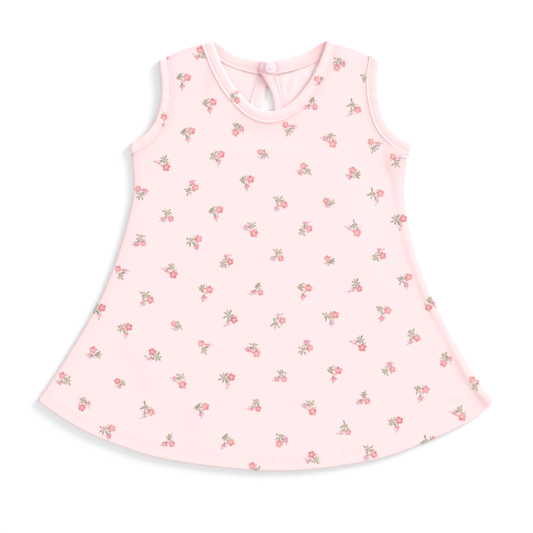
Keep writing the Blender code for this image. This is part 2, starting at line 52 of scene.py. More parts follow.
# ---------------------------------------------------------------- table, light and camera
# The dress lies on a white table under one large soft lamp, up and to the right of it, in a
# bright room. The camera looks straight down on it.
PIXEL = 0.00094  # width of one of the render's pixels, on the dress
RENDER_PIXELS = 533
RENDER_CENTRE = (266.5, 266.5)
DRESS_CENTRE = (266.0, 255.0)
CAMERA_HEIGHT = 1.6
TABLE_SIZE = 6.0
TABLE_DROP = 0.0002  # the table's top lies lower than the dress's lowest point by this
TABLE_WHITE = (0.93, 0.93, 0.93, 1.0)
TABLE_ROUGH, TABLE_GLOSS = 0.9, 0.1
LAMP_PLACE = (10.5, 8.5, 3.6)
LAMP_SIZE = 6.4
LAMP_POWER = 2250.0
ROOM_LIGHT = 0.88
ROOM_COLOUR = (0.985, 1.0, 1.008, 1.0)


def new_material(name, constants):
    """A material, its node tree and its shader, which has the constants on its sockets."""
    material = bpy.data.materials.new(name)
    material.use_nodes = True
    shader = material.node_tree.nodes["Principled BSDF"]
    for socket, value in constants.items():
        shader.inputs[socket].default_value = value
    return material, material.node_tree, shader


def light_the_table():
    bpy.ops.mesh.primitive_plane_add(size=TABLE_SIZE, location=(0, 0, -TABLE_DROP))
    table = bpy.context.object
    table.name = "table"
    constants = {"Base Color": TABLE_WHITE, "Roughness": TABLE_ROUGH}
    constants["Specular IOR Level"] = TABLE_GLOSS
    table.data.materials.append(new_material("white table", constants)[0])
    lamp = bpy.data.lights.new("soft lamp", "AREA")
    lamp.shape = "DISK"
    lamp.size = LAMP_SIZE
    lamp.energy = LAMP_POWER
    holder = bpy.data.objects.new("soft lamp", lamp)
    holder.location = LAMP_PLACE
    holder.rotation_euler = Vector(LAMP_PLACE).to_track_quat("Z", "Y").to_euler()
    bpy.context.collection.objects.link(holder)
    room = bpy.data.worlds.new("bright room")
    room.use_nodes = True
    light = room.node_tree.nodes["Background"]
    light.inputs["Color"].default_value = ROOM_COLOUR
    light.inputs["Strength"].default_value = ROOM_LIGHT
    bpy.context.scene.world = room
    bpy.context.scene.view_settings.view_transform = "Standard"


def place_the_camera():
    lens = bpy.data.cameras.new("camera")
    lens.sensor_fit = "HORIZONTAL"
    lens.angle = 2 * math.atan(RENDER_PIXELS * PIXEL / 2 / CAMERA_HEIGHT)
    camera = bpy.data.objects.new("camera", lens)
    across = (RENDER_CENTRE[0] - DRESS_CENTRE[0]) * PIXEL
    up = (DRESS_CENTRE[1] - RENDER_CENTRE[1]) * PIXEL
    camera.location = (across, up, CAMERA_HEIGHT)
    bpy.context.collection.objects.link(camera)
    bpy.context.scene.camera = camera


light_the_table()
place_the_camera()


# ---------------------------------------------------------------- front
# One piece of printed jersey, cut on the fold, with a low scooped neck. The sides and the
# shoulders are overlocked to the back, and the hem is turned up once and cover-stitched.
WALL = 0.0012  # a panel's thickness
DOUBLE_WALL = 0.0018  # and where a hem or an allowance doubles it
CUT_WALL = 0.0006  # and between the layers of a binding
BINDING = 0.0018  # a folded binding's thickness
GAP = 0.0003  # air between two pieces that lie on each other
HEM_DEPTH = 0.012
STEP_RUN = 0.002  # one thickness passes into another over this run
NECK_POINT_LEFT = (-0.0505, 0.2020)
NECK_POINT_RIGHT = (0.0572, 0.2020)
SHOULDER_TIP_LEFT = (-0.1010, 0.1830)
SHOULDER_TIP_RIGHT = (0.1070, 0.1834)
# y, left x and right x, from the hem corner up to the armhole binding
SIDE_SEAMS = (
    (-0.1363, -0.2143, 0.2143),
    (-0.1175, -0.2012, 0.2002),
    (-0.0800, -0.1776, 0.1780),
    (-0.0423, -0.1563, 0.1580),
    (-0.0047, -0.1410, 0.1438),
    (0.0330, -0.1298, 0.1344),
    (0.0611, -0.1244, 0.1314),
    (0.0912, -0.1260, 0.1338),
)
# y, left x and right x, from the underarm up to the shoulder tip
ARMHOLES = (
    (0.1036, -0.1288, 0.1388),
    (0.1090, -0.1194, 0.1272),
    (0.1166, -0.1106, 0.1184),
    (0.1278, -0.1034, 0.1109),
    (0.1457, -0.0987, 0.1062),
    (0.1645, -0.0985, 0.1048),
)
FRONT_NECK = (
    NECK_POINT_LEFT,
    (-0.0470, 0.1927),
    (-0.0414, 0.1786),
    (-0.0329, 0.1626),
    (-0.0235, 0.1504),
    (-0.0113, 0.1392),
    (0.0019, 0.1348),
    (0.0160, 0.1382),
    (0.0282, 0.1476),
    (0.0395, 0.1617),
    (0.0479, 0.1767),
    (0.0536, 0.1908),
    NECK_POINT_RIGHT,
)
HEM = (
    (0.2143, -0.1363),
    (0.2092, -0.1424),
    (0.1927, -0.1551),
    (0.1532, -0.1739),
    (0.0987, -0.1927),
    (0.0113, -0.2026),
    (-0.0884, -0.1927),
    (-0.1504, -0.1739),
    (-0.1880, -0.1551),
    (-0.2143, -0.1363),
)
NECK_WIDTH = 0.0110
ARMHOLE_WIDTH_LEFT = 0.0098
ARMHOLE_WIDTH_RIGHT = 0.0108
TURN_RUN = 0.014  # near its ends a binding's width turns into line with the seam over this
TURN_STEP = 0.0001  # points nearer than this to a binding's turn are left out
FRONT_LOW = BINDING + GAP
FRONT_BINDING_TOP = FRONT_LOW + BINDING
BINDING_DROP = 0.0004  # the cloth lies lower than the bindings by this
SEAM_DROP = 0.0003  # the cloth beside a side or shoulder seam lies lower by this
SEAM_ROLL = 0.008  # and rises to its full height over this run
BINDING_ROLL = 0.016  # folds die away over this run towards an edge
PUFF = 0.0001  # the middle stands up by this, over the run from an edge
PUFF_RUN = 0.050
SEAM_MEETS = 0.0016  # height at which front and back meet along the side seams
SHOULDER_BOW = 0.0012  # the shoulder seams bow outwards by this
SIDE_ROUND = 0.0018  # how far in from a seam the cloth rounds down to it
HEM_ROUND = 0.0009
TUCK = 0.0016  # how far a panel's edge reaches in between the layers of a binding
TUCK_START = 0.0006  # it begins to come up this far inside the binding's seam
TUCK_HEIGHT = 0.0010  # height of the tucked edge's top above the binding's underside
TUCK_RISE = 0.0013  # the run over which the panel comes up beside the binding
SEAM_THINS = 0.9  # the front thins by this share towards a side or shoulder seam
EDGE_SPACING = 0.0022
# Depths of the rows of points that follow the front's outline
FRONT_ROWS = (
    *(0.0004, 0.0009, 0.0014, 0.0019, 0.0024, 0.0030, 0.0038, 0.0048, 0.0058),
    *(0.0067, 0.0076, 0.0085, 0.0094, 0.0104, 0.0114, 0.0126, 0.0140),
)
FRONT_SPACING = 0.0028
UNDER_ROWS = (0.0010, 0.0035)
UNDER_MARGIN = 0.0080
UNDER_SPACING = 0.0090
SIDE_RIDGE = 0.0008  # the pressed allowance inside the right side seam stands up by this
# y, the ridge's width and its share of the full rise there
RIDGE = (
    (-0.1450, 0.0092, 1.1),
    (-0.1100, 0.0104, 1.0),
    (-0.0720, 0.0072, 0.6),
    (-0.0450, 0.0084, 0.8),
    (0.0000, 0.0088, 0.6),
    (0.0480, 0.0096, 0.3),
    (0.0700, 0.0126, 0.6),
    (0.0800, 0.0166, 1.0),
    (0.0890, 0.0200, 1.1),
    (0.0980, 0.0220, 0.6),
    (0.1060, 0.0240, 0.0),
)
RIDGE_FALL = 0.0055
RIDGE_FALL_START = 0.55 * RIDGE_FALL  # inside the ridge's width
RIDGE_FALL_SHARE = 0.55  # of the ridge's rise, and the rest trails off over the tail
RIDGE_TAIL = 0.0100
VALLEY_SPREAD = 0.7 * RIDGE_FALL
# Soft folds: x, y, turn in degrees, half length, half width, rise
FOLDS = (
    (-0.015, 0.094, 2, 0.060, 0.008, 0.0002),
    (0.122, 0.082, 60, 0.030, 0.010, -0.0005),
    (-0.104, 0.088, -38, 0.030, 0.011, 0.0002),
    (0.008, 0.112, 4, 0.030, 0.008, -0.0002),
    (-0.128, -0.012, 62, 0.060, 0.016, 0.0003),
    (0.088, 0.006, -72, 0.070, 0.018, 0.0003),
    (-0.046, -0.052, 84, 0.066, 0.017, -0.0003),
    (0.030, -0.074, 96, 0.060, 0.018, 0.0003),
    (0.136, -0.118, 40, 0.036, 0.011, 0.0003),
    (-0.126, -0.122, 118, 0.040, 0.014, -0.0003),
    (-0.062, -0.150, 100, 0.032, 0.013, 0.0003),
    (0.078, -0.146, 74, 0.034, 0.013, -0.0003),
    (-0.188, -0.144, -28, 0.024, 0.006, 0.0003),
)
# Finer creases, left from folding and handling, in the same columns
CREASES = (
    (-0.021, 0.0915, 1, 0.022, 0.0026, -0.00012),
    (0.034, 0.0905, -2, 0.030, 0.0024, -0.00006),
    (-0.067, 0.0500, -14, 0.018, 0.0026, -0.00014),
    (0.127, 0.0840, 62, 0.018, 0.0050, -0.00030),
    (0.120, 0.0500, 48, 0.012, 0.0040, -0.00018),
    (0.175, -0.1330, -4, 0.016, 0.0024, 0.00020),
    (0.178, -0.1385, 10, 0.012, 0.0022, -0.00020),
    (0.133, -0.1330, -8, 0.016, 0.0024, 0.00012),
    (0.072, -0.0900, 50, 0.006, 0.0022, -0.00020),
    (0.079, -0.0300, 62, 0.007, 0.0024, -0.00014),
    (-0.118, -0.1440, 96, 0.012, 0.0020, -0.00010),
    (-0.112, -0.1450, 92, 0.014, 0.0022, 0.00010),
    (0.006, -0.1300, 88, 0.022, 0.0032, -0.00008),
    (-0.030, 0.0100, 70, 0.030, 0.0045, 0.00008),
    (0.052, 0.0450, 108, 0.034, 0.0048, -0.00008),
    (-0.085, 0.0200, 66, 0.030, 0.0045, -0.00009),
    (-0.112, 0.0930, -22, 0.012, 0.0026, -0.00012),
    (0.104, 0.1020, 20, 0.014, 0.0028, 0.00012),
    (-0.158, -0.1100, 54, 0.030, 0.0040, 0.00012),
    (0.020, 0.0600, 12, 0.026, 0.0040, 0.00007),
    (-0.0480, 0.1690, 68, 0.018, 0.0050, 0.00065),
    (-0.0400, 0.1480, 54, 0.014, 0.0050, 0.00030),
    (-0.0740, 0.1680, 62, 0.014, 0.0040, 0.00012),
)
# Painted rosy shade in a fold or beside a seam, in the same columns, with its amount for the rise
PAINTED_SHADE_SPOTS = (
    (-0.0500, 0.1670, 68, 0.020, 0.0050, 0.20),
    (-0.0060, 0.1240, 0, 0.024, 0.0090, 0.14),
    (0.1170, 0.0850, 58, 0.016, 0.0070, 0.10),
    (0.2030, -0.1360, -56, 0.009, 0.0040, 0.16),
    (-0.0210, 0.0925, 1, 0.024, 0.0030, 0.04),
)
RIPPLE = 0.00004  # puckering beside the hem's and the bindings' stitching
RIPPLE_LENGTH = 0.0115
RIPPLE_WAVES = ((1.0, 1.0, 0.0), (0.6, 1.71, 1.3), (0.5, 0.43, 0.4))  # height, rate, start
HEM_RIPPLE_REACH = 0.007
EDGE_RIPPLE_PLACE = 0.003
EDGE_RIPPLE_REACH = 0.005
HEM_ROWS = (0.0076, 0.0104)  # the two rows of cover stitch, above the hem's fold
EDGE_ROW = 0.0028  # the row beside each binding
STITCH_SINK = 0.00011  # a row of stitches draws the cloth down by this
EDGE_SINK_SHARE = 0.6  # and the row beside a binding by this share of it
STITCH_SINK_REACH = 0.0008
CURVE_STEPS = 24  # between two knots
MEASURED_AT_ONCE = 1500  # so many points, to keep the memory small
FULL_DEPTH = 0.93  # a row's point is kept when it lies at this share of its depth
LEAST_LEAN = 0.5  # keeps an outline's sharp corners from running out when it is moved in
ROW_STARTS = (0.25, 0.75)  # of a field's rows by turns, in spacings
SAME_POINT = 1e-7  # points nearer than this count as one
INSIDE_ONLY = 1  # the triangles that lie inside the border


def lengths_along(path):
    return np.append(0.0, np.cumsum(np.linalg.norm(np.diff(path, axis=0), axis=1)))


def points_at(path, places):
    """Points of a path at places along it."""
    lengths = lengths_along(path)
    return np.column_stack([np.interp(places, lengths, path[:, i]) for i in (0, 1)])


def evenly(path, spacing):
    """A path's points anew, evenly spaced."""
    length = lengths_along(path)[-1]
    return points_at(path, np.linspace(0.0, length, round(length / spacing) + 1))


def curve(knots, spacing):
    """Points along a smooth curve through the knots, evenly spaced."""
    knots = np.array(knots, float)
    ends = np.vstack([2 * knots[0] - knots[1], knots, 2 * knots[-1] - knots[-2]])
    t = np.linspace(0.0, 1.0, CURVE_STEPS, endpoint=False)[:, None]
    fine = []
    for before, start, end, after in zip(ends, ends[1:], ends[2:], ends[3:]):
        slope = end - before
        bend = 2 * before - 5 * start + 4 * end - after
        twist = 3 * (start - end) + after - before
        fine.append(start + 0.5 * t * (slope + t * (bend + t * twist)))
    return evenly(np.vstack(fine + [knots[-1:]]), spacing)


def unit(vector):
    return np.array(vector) / np.linalg.norm(vector)


def unit_rows(vectors):
    return vectors / np.linalg.norm(vectors, axis=1)[:, None]


def right_of(direction):
    """Directions turned a quarter clockwise: into the cloth, on a path clockwise round it."""
    return np.stack([direction[..., 1], -direction[..., 0]], axis=-1)


def swell(distance, reach):
    """0 at no distance, rising smoothly to 1 at the reach."""
    t = np.clip(distance / reach, 0.0, 1.0)
    return t * t * (3.0 - 2.0 * t)


def roll(distance, reach):
    """0 at no distance, rising like a quarter circle to 1 at the reach."""
    t = 1.0 - np.clip(distance / reach, 0.0, 1.0)
    return np.sqrt(1.0 - t * t)


def bump(distance, centre, spread):
    return np.exp(-(((distance - centre) / spread) ** 2))


def nearest(points, path):
    """Distance from each point to a path, and how far along it the nearest place is."""
    starts = path[:-1]
    steps = np.diff(path, axis=0)
    squares = (steps**2).sum(-1)
    lengths = lengths_along(path)
    found, places = [], []
    for part in np.array_split(points, max(1, len(points) // MEASURED_AT_ONCE)):
        offsets = part[:, None, :] - starts[None]
        along = np.clip((offsets * steps).sum(-1) / squares, 0.0, 1.0)
        far = np.linalg.norm(offsets - along[..., None] * steps, axis=-1)
        which = far.argmin(axis=1)
        rows = np.arange(len(part))
        found.append(far[rows, which])
        places.append(lengths[which] + along[rows, which] * np.sqrt(squares[which]))
    return np.concatenate(found), np.concatenate(places)


def distance(points, path):
    return nearest(points, path)[0]


def to_paths(points, paths):
    """Distance from each point to the nearest of some paths."""
    return np.min([distance(points, path) for path in paths], axis=0)


def closed(path):
    return np.vstack([path, path[:1]])


def inside(points, outline):
    """Which points lie inside an outline."""
    found = np.zeros(len(points), bool)
    for (x1, y1), (x2, y2) in zip(outline, np.roll(outline, -1, axis=0)):
        if y1 == y2:
            continue
        crosses = (points[:, 1] < y1) != (points[:, 1] < y2)
        found ^= crosses & (points[:, 0] < x1 + (points[:, 1] - y1) * (x2 - x1) / (y2 - y1))
    return found


def moved_in(outline, depth):
    """A clockwise outline moved into the cloth by a depth."""
    before = unit_rows(outline - np.roll(outline, 1, axis=0))
    after = unit_rows(np.roll(outline, -1, axis=0) - outline)
    inwards = unit_rows(right_of(before) + right_of(after))
    lean = (inwards * right_of(before)).sum(axis=1)
    return outline + inwards * (depth / np.maximum(lean, LEAST_LEAN))[:, None]


def rows_inside(outline, rows):
    """Rows of points that follow an outline, kept only where they are at their full depth."""
    ring = closed(outline)
    kept = []
    for depth in rows:
        row = moved_in(outline, depth)
        row = row[inside(row, outline)]
        kept.append(row[distance(row, ring) > FULL_DEPTH * depth])
    return np.vstack(kept)


def field_inside(outline, margin, spacing, chosen=None):
    """An even field of points inside an outline, in staggered rows."""
    low = outline.min(axis=0)
    high = outline.max(axis=0)
    rise = spacing * math.sqrt(3) / 2
    rows = []
    for i, y in enumerate(np.arange(low[1] + rise / 2, high[1], rise)):
        xs = np.arange(low[0] + spacing * ROW_STARTS[i % 2], high[0], spacing)
        rows.append(np.column_stack([xs, np.full(len(xs), y)]))
    field = np.vstack(rows)
    if chosen is not None:
        field = field[chosen(field)]
    field = field[inside(field, outline)]
    return field[distance(field, closed(outline)) > margin]


def triangles_over(points, count):
    """Triangles over the outline that the first points make, through all the points."""
    border = list(range(count))
    corners = [Vector(point) for point in points]
    found = delaunay_2d_cdt(corners, [], [border], INSIDE_ONLY, SAME_POINT)
    faces, origins = found[2:4]
    return np.array([[origins[i][0] for i in face] for face in faces])


def sheet_object(name, places, faces):
    """A smooth piece from the places of its points and from its faces."""
    mesh = bpy.data.meshes.new(name)
    mesh.from_pydata([tuple(place) for place in places], [], [tuple(face) for face in faces])
    mesh.validate()
    mesh.shade_smooth()
    piece = bpy.data.objects.new(name, mesh)
    bpy.context.collection.objects.link(piece)
    return piece


def turn_outwards(piece):
    """Turns the faces of a closed piece outwards."""
    shape = bmesh.new()
    shape.from_mesh(piece.data)
    bmesh.ops.recalc_face_normals(shape, faces=shape.faces)
    shape.to_mesh(piece.data)
    shape.free()


def cloth_panel(name, outline, upper_inner, lower_inner, top_of, low_of):
    """A closed thin shell over an outline. Its two sides meet in the outline's own points."""
    count = len(outline)
    upper = np.vstack([outline, *upper_inner])
    lower = np.vstack([outline, *lower_inner])
    tops = top_of(upper)
    lows = low_of(lower)
    seam = (tops[:count] + lows[:count]) / 2
    top_places = np.column_stack([upper, np.append(seam, tops[count:])])
    low_places = np.column_stack([lower, lows])[count:]
    lower_faces = triangles_over(lower, count)[:, ::-1]
    lower_faces = np.where(lower_faces < count, lower_faces, lower_faces + len(upper) - count)
    faces = np.vstack([triangles_over(upper, count), lower_faces])
    piece = sheet_object(name, np.vstack([top_places, low_places]), faces)
    turn_outwards(piece)
    return piece


def knots_of(table, column):
    """Knots (x, y) from a table whose rows start with y and have x in a column."""
    return [(row[column], row[0]) for row in table]


LEFT, RIGHT = 1, 2
side_left = curve(knots_of(SIDE_SEAMS, LEFT), EDGE_SPACING)
side_right = curve(knots_of(SIDE_SEAMS, RIGHT)[::-1], EDGE_SPACING)
hem = curve(HEM, EDGE_SPACING)
armhole_left = curve(knots_of(ARMHOLES, LEFT) + [SHOULDER_TIP_LEFT], EDGE_SPACING)
armhole_right = curve([SHOULDER_TIP_RIGHT] + knots_of(ARMHOLES, RIGHT)[::-1], EDGE_SPACING)
front_neck = curve(FRONT_NECK, EDGE_SPACING)
shoulder_left = unit(np.subtract(NECK_POINT_LEFT, SHOULDER_TIP_LEFT))
shoulder_right = unit(np.subtract(NECK_POINT_RIGHT, SHOULDER_TIP_RIGHT))
underarm_left = unit(side_left[-1] - armhole_left[0])
underarm_right = unit(side_right[0] - armhole_right[-1])


class Strip:
    """One stretch of a binding on one layer: its folded edge and its seam, point by point.

    Near an end its width turns into line with first or last, the direction of the dress's seam
    there. With at_first or at_last, which point into the cloth, an end stops short of that
    seam, to leave room for its turn round to the other layer. extra makes the rest wider.
    """

    def __init__(
        self, edge, width, first=None, last=None, at_first=None, at_last=None, extra=0.0
    ):
        edge = edge.copy()
        turn_reach = FRONT_BINDING_TOP / 2
        if at_first is not None:
            edge[0] += at_first * turn_reach
            edge = edge[np.append(True, (edge[1:] - edge[0]) @ at_first > TURN_STEP)]
        if at_last is not None:
            edge[-1] += at_last * turn_reach
            edge = edge[np.append((edge[:-1] - edge[-1]) @ at_last > TURN_STEP, True)]
        inwards = right_of(unit_rows(np.gradient(edge, axis=0)))
        run = lengths_along(edge)
        widths = np.full(len(edge), width + extra)
        for seam, from_end in ((first, run), (last, run[-1] - run)):
            if seam is not None:
                share = 1.0 - swell(from_end, TURN_RUN)
                inwards = inwards * (1.0 - share[:, None]) + np.array(seam) * share[:, None]
                widths -= extra * share
        self.edge = edge
        self.inwards = unit_rows(inwards)
        self.width = width + extra
        self.seam = edge + self.inwards * widths[:, None]

    def tucked(self):
        """The panel's edge, tucked in between the strip's layers."""
        return self.seam - self.inwards * TUCK


below_left = right_of(shoulder_left)
below_right = -right_of(shoulder_right)
beside_left = -right_of(underarm_left)
beside_right = right_of(underarm_right)
arm_left = Strip(
    armhole_left,
    ARMHOLE_WIDTH_LEFT,
    underarm_left,
    shoulder_left,
    beside_left,
    below_left,
)
arm_right = Strip(
    armhole_right,
    ARMHOLE_WIDTH_RIGHT,
    shoulder_right,
    underarm_right,
    below_right,
    beside_right,
)
neck_front = Strip(
    front_neck, NECK_WIDTH, -shoulder_left, -shoulder_right, below_left, below_right
)


def shoulder_between(tip, neck_point, along, below, armhole_width):
    """A shoulder seam from the armhole binding to the neck binding, bowed a little outwards."""
    start = np.array(tip) + along * (armhole_width - TUCK)
    end = np.array(neck_point) - along * (NECK_WIDTH - TUCK)
    count = round(np.linalg.norm(end - start) / EDGE_SPACING) + 1
    bow = SHOULDER_BOW * np.sin(np.linspace(0.0, math.pi, count))
    return np.linspace(start, end, count) - below * bow[:, None]


shoulder_seam_left = shoulder_between(
    SHOULDER_TIP_LEFT, NECK_POINT_LEFT, shoulder_left, below_left, ARMHOLE_WIDTH_LEFT
)
shoulder_seam_right = shoulder_between(
    SHOULDER_TIP_RIGHT, NECK_POINT_RIGHT, shoulder_right, below_right, ARMHOLE_WIDTH_RIGHT
)[::-1]
sides_up = np.vstack([side_left, arm_left.tucked()[1:-1], shoulder_seam_left])
sides_down = np.vstack([shoulder_seam_right, arm_right.tucked()[1:-1], side_right])
front_outline = np.vstack([sides_up, neck_front.tucked()[1:-1], sides_down, hem[1:-1]])


def to_seams(points):
    """Distance from each point to the nearest side or shoulder seam."""
    return to_paths(points, (side_left, side_right, shoulder_seam_left, shoulder_seam_right))


def beyond_bindings(points):
    """Signed distance from the bindings' seams, below nought under a binding, and the place
    along the nearest one."""
    found = []
    for strip in (arm_left, arm_right, neck_front):
        to_seam, along = nearest(points, strip.seam)
        to_edge = distance(points, strip.edge)
        found.append((np.where(to_edge < strip.width, -to_seam, to_seam), along))
    far = np.array([item[0] for item in found])
    which = np.abs(far).argmin(axis=0)
    rows = np.arange(len(points))
    return far[which, rows], np.array([item[1] for item in found])[which, rows]


def hem_share(points):
    """1 where the turned-up hem doubles the cloth, and 0 beyond it."""
    return 1.0 - swell(distance(points, hem) - HEM_DEPTH, STEP_RUN)


def relief(points, table):
    """Summed rise of a table's soft folds at each point."""
    height = np.zeros(len(points))
    for x, y, turn, half_length, half_width, rise in table:
        along = np.array((math.cos(math.radians(turn)), math.sin(math.radians(turn))))
        offsets = points - (x, y)
        across = offsets @ right_of(along)
        height += rise * bump(offsets @ along, 0.0, half_length) * bump(across, 0.0, half_width)
    return height


def ripples(along, beside, reach):
    """Uneven puckering along a stitched line, dying away beside it."""
    turns = along / RIPPLE_LENGTH * 2 * math.pi
    wave = sum(height * np.sin(rate * turns + start) for height, rate, start in RIPPLE_WAVES)
    return RIPPLE * wave * bump(beside, 0.0, reach)


def side_ridge(points):
    """The right side's pressed ridge, and how deep its inner foot lies in the valley."""
    heights, widths, shares = np.array(RIDGE).T
    width = np.interp(points[:, 1], heights, widths)
    share = np.interp(points[:, 1], heights, shares)
    beyond = distance(points, side_right) - width
    fall = 1.0 - swell(beyond + RIDGE_FALL_START, RIDGE_FALL)
    tail = np.exp(-np.maximum(beyond, 0.0) / RIDGE_TAIL)
    rise = RIDGE_FALL_SHARE * fall + (1.0 - RIDGE_FALL_SHARE) * tail
    return share * rise, share * bump(beyond, 0.0, VALLEY_SPREAD)


def front_top(points):
    """Height of the front's upper side."""
    seams = to_seams(points)
    bindings, along_binding = beyond_bindings(points)
    to_hem, along_hem = nearest(points, hem)
    clear = np.maximum(bindings, 0.0)
    edges = np.minimum(np.minimum(seams, clear), to_hem)
    height = FRONT_BINDING_TOP - BINDING_DROP - SEAM_DROP * (1.0 - swell(seams, SEAM_ROLL))
    height += PUFF * swell(edges, PUFF_RUN)
    inner = swell(edges, BINDING_ROLL)
    height += relief(points, FOLDS) * inner + relief(points, CREASES) * inner
    height += SIDE_RIDGE * side_ridge(points)[0]
    height += ripples(along_hem, to_hem - HEM_DEPTH, HEM_RIPPLE_REACH)
    for row in HEM_ROWS:
        height -= STITCH_SINK * bump(to_hem, row, STITCH_SINK_REACH)
    height -= EDGE_SINK_SHARE * STITCH_SINK * bump(clear, EDGE_ROW, STITCH_SINK_REACH)
    rippled = ripples(along_binding, clear - EDGE_RIPPLE_PLACE, EDGE_RIPPLE_REACH)
    height += rippled * swell(clear, STEP_RUN)
    tucked = FRONT_LOW + TUCK_HEIGHT
    height = tucked + (height - tucked) * roll(bindings + TUCK_START, TUCK_RISE)
    height = SEAM_MEETS + (height - SEAM_MEETS) * roll(seams, SIDE_ROUND)
    hem_middle = FRONT_LOW + DOUBLE_WALL / 2
    return hem_middle + (height - hem_middle) * roll(to_hem, HEM_ROUND)


def front_low(points):
    """Height of the front's underside."""
    tucked = 1.0 - swell(beyond_bindings(points)[0] + TUCK, STEP_RUN)
    wall = WALL + (DOUBLE_WALL - WALL) * hem_share(points)
    wall = wall * (1.0 - tucked) + CUT_WALL * tucked
    at_seam = 1.0 - roll(to_seams(points), SIDE_ROUND)
    low = front_top(points) - wall * (1.0 - SEAM_THINS * at_seam)
    to_hem = distance(points, hem)
    hem_middle = FRONT_LOW + DOUBLE_WALL / 2
    at_hem = hem_middle - (hem_middle - FRONT_LOW) * roll(to_hem, HEM_ROUND)
    return np.where(to_hem < HEM_ROUND, at_hem, low)


# The print: sprigs in staggered rows, one letter for each, row by row from the neck down.
# Columns of the chart are two steps apart, and every other row starts one step in.
PRINT_CHART = (
    "...S.....",
    "........",
    "...A..B..",
    "..CA....",
    "..KDA..K.",
    "..E..HA.",
    "...A..CA.",
    ".KC..HD.",
    "..B..SEA.",
    "....DAS.",
    ".F..CDCB.",
    "FH.AESDG",
    "..BAE.ES.",
    "......AC",
    ".....FB..",
)
CHART_TOP = 10
CHART_LEFT = -8
# Sprigs out of step with the rows, where sewing has stretched the cloth: x, y, kind
LOOSE_SPRIGS = (
    (0.068, 0.179, "G"),
    (0.097, 0.165, "A"),
    (0.043, 0.141, "E"),
    (-0.053, 0.141, "A"),
    (0.021, 0.119, "K"),
    (-0.027, 0.118, "G"),
    (0.101, 0.103, "K"),
    (-0.003, 0.095, "H"),
    (-0.014, 0.024, "C"),
    (0.011, -0.001, "E"),
    (-0.037, -0.006, "D"),
    (-0.008, -0.033, "E"),
    (-0.057, -0.035, "S"),
    (-0.157, -0.052, "A"),
    (-0.061, 0.189, "F"),
    (0.154, -0.046, "G"),
    (-0.084, -0.066, "H"),
    (0.196, -0.120, "K"),
    (-0.171, -0.140, "G"),
    (0.074, -0.164, "E"),
    (-0.148, -0.165, "A"),
    (0.154, -0.176, "A"),
    (0.014, -0.174, "G"),
    (0.060, 0.108, "C"),
    (0.036, 0.080, "F"),
    (0.082, 0.076, "F"),
    (-0.047, 0.040, "A"),
    (0.013, 0.048, "B"),
    (-0.118, 0.013, "E"),
    (0.037, 0.025, "D"),
    (-0.132, -0.070, "A"),
    (-0.034, -0.060, "B"),
    (-0.106, -0.094, "F"),
    (-0.058, -0.086, "K"),
    (-0.081, -0.118, "C"),
    (0.041, -0.143, "C"),
    (-0.091, -0.175, "E"),
    (-0.037, -0.175, "B"),
    (-0.012, -0.201, "F"),
)
# Where the rows and columns lie: the place of row 0 and column 0, the steps between them, and
# how the cloth's stretch makes them slope, lean, spread and bow
PRINT_START = (-0.0120, -0.0891)
COLUMN_STEP = 0.0249
ROW_STEP = 0.0263
ROW_SLOPE = 0.00126
COLUMN_LEAN = -0.00098
COLUMN_SPREAD = 0.000035
COLUMN_TILT = -0.0000132
ROW_TILT = 0.000039
ROW_BOW = 0.0000034
# Each kind of sprig, in millimetres from its middle: leaves x, y, size; rose x, y, size; bud
# x, y, size
SPRIGS = {
    "A": (-3.8, 1.2, 1.0, 3.2, 2.4, 1.0, 0.4, -4.6, 1.0),
    "S": (-3.2, 3.2, 1.0, 3.8, 2.4, 1.0, -1.0, -5.2, 1.05),
    "B": (-1.2, 3.6, 1.0, 4.0, -0.8, 0.95, -2.2, -4.2, 1.0),
    "C": (0.8, 3.8, 0.85, 2.6, -3.6, 1.05, -4.0, 1.2, 1.1),
    "D": (-3.2, -2.8, 0.95, 3.2, -0.4, 0.9, 0.2, 4.2, 1.05),
    "E": (0.2, 3.6, 0.9, 2.8, -2.2, 0.8, -3.6, -2.4, 1.05),
    "F": (3.6, -1.4, 0.95, -0.8, 3.2, 0.95, -3.6, -2.8, 1.05),
    "G": (-0.8, 3.4, 0.9, -1.6, -3.2, 0.95, 4.0, 0.4, 1.05),
    "H": (2.4, -0.6, 0.8, -2.2, 1.6, 0.8, -0.8, -3.2, 0.9),
    "K": (-0.2, -3.4, 0.85, -2.6, 3.0, 0.85, 3.6, 0.8, 1.05),
    "L": (1.0, 2.0, 0.55, 0.0, 0.0, 0.85, -6.4, -2.0, 0.65),
    "N": (-2.8, -0.6, 0.8, 2.6, 0.0, 0.85, -3.2, 5.0, 0.7),
    "P": (2.3, -1.6, 0.6, 0.0, 2.5, 0.75, -3.0, -1.6, 0.8),
}
SPRIG_TURN = 7.0  # degrees, the most that a sprig is turned either way
SEEDS = 10  # each motif is drawn in this many slightly different ways
PRINT_SEED = 7
CELL = 0.040  # the square of cloth that a motif's own map covers
CELL_EDGE = 0.48  # the map ends at this share of the cell from its middle
LEAVES_AT, ROSE_AT, BUD_AT = 0, 3, 6
MILLIMETRES = 1000  # to the metre


def place_in_rows(column, row):
    """The place of the print's column and row on the laid-out cloth."""
    x = PRINT_START[0] + COLUMN_STEP * column + COLUMN_LEAN * row
    x += column * row * (COLUMN_SPREAD * row + COLUMN_TILT * column * column)
    y = PRINT_START[1] + ROW_STEP * row + ROW_SLOPE * column
    y += ROW_TILT * column * row * row + ROW_BOW * column**4
    return np.array((x, y))


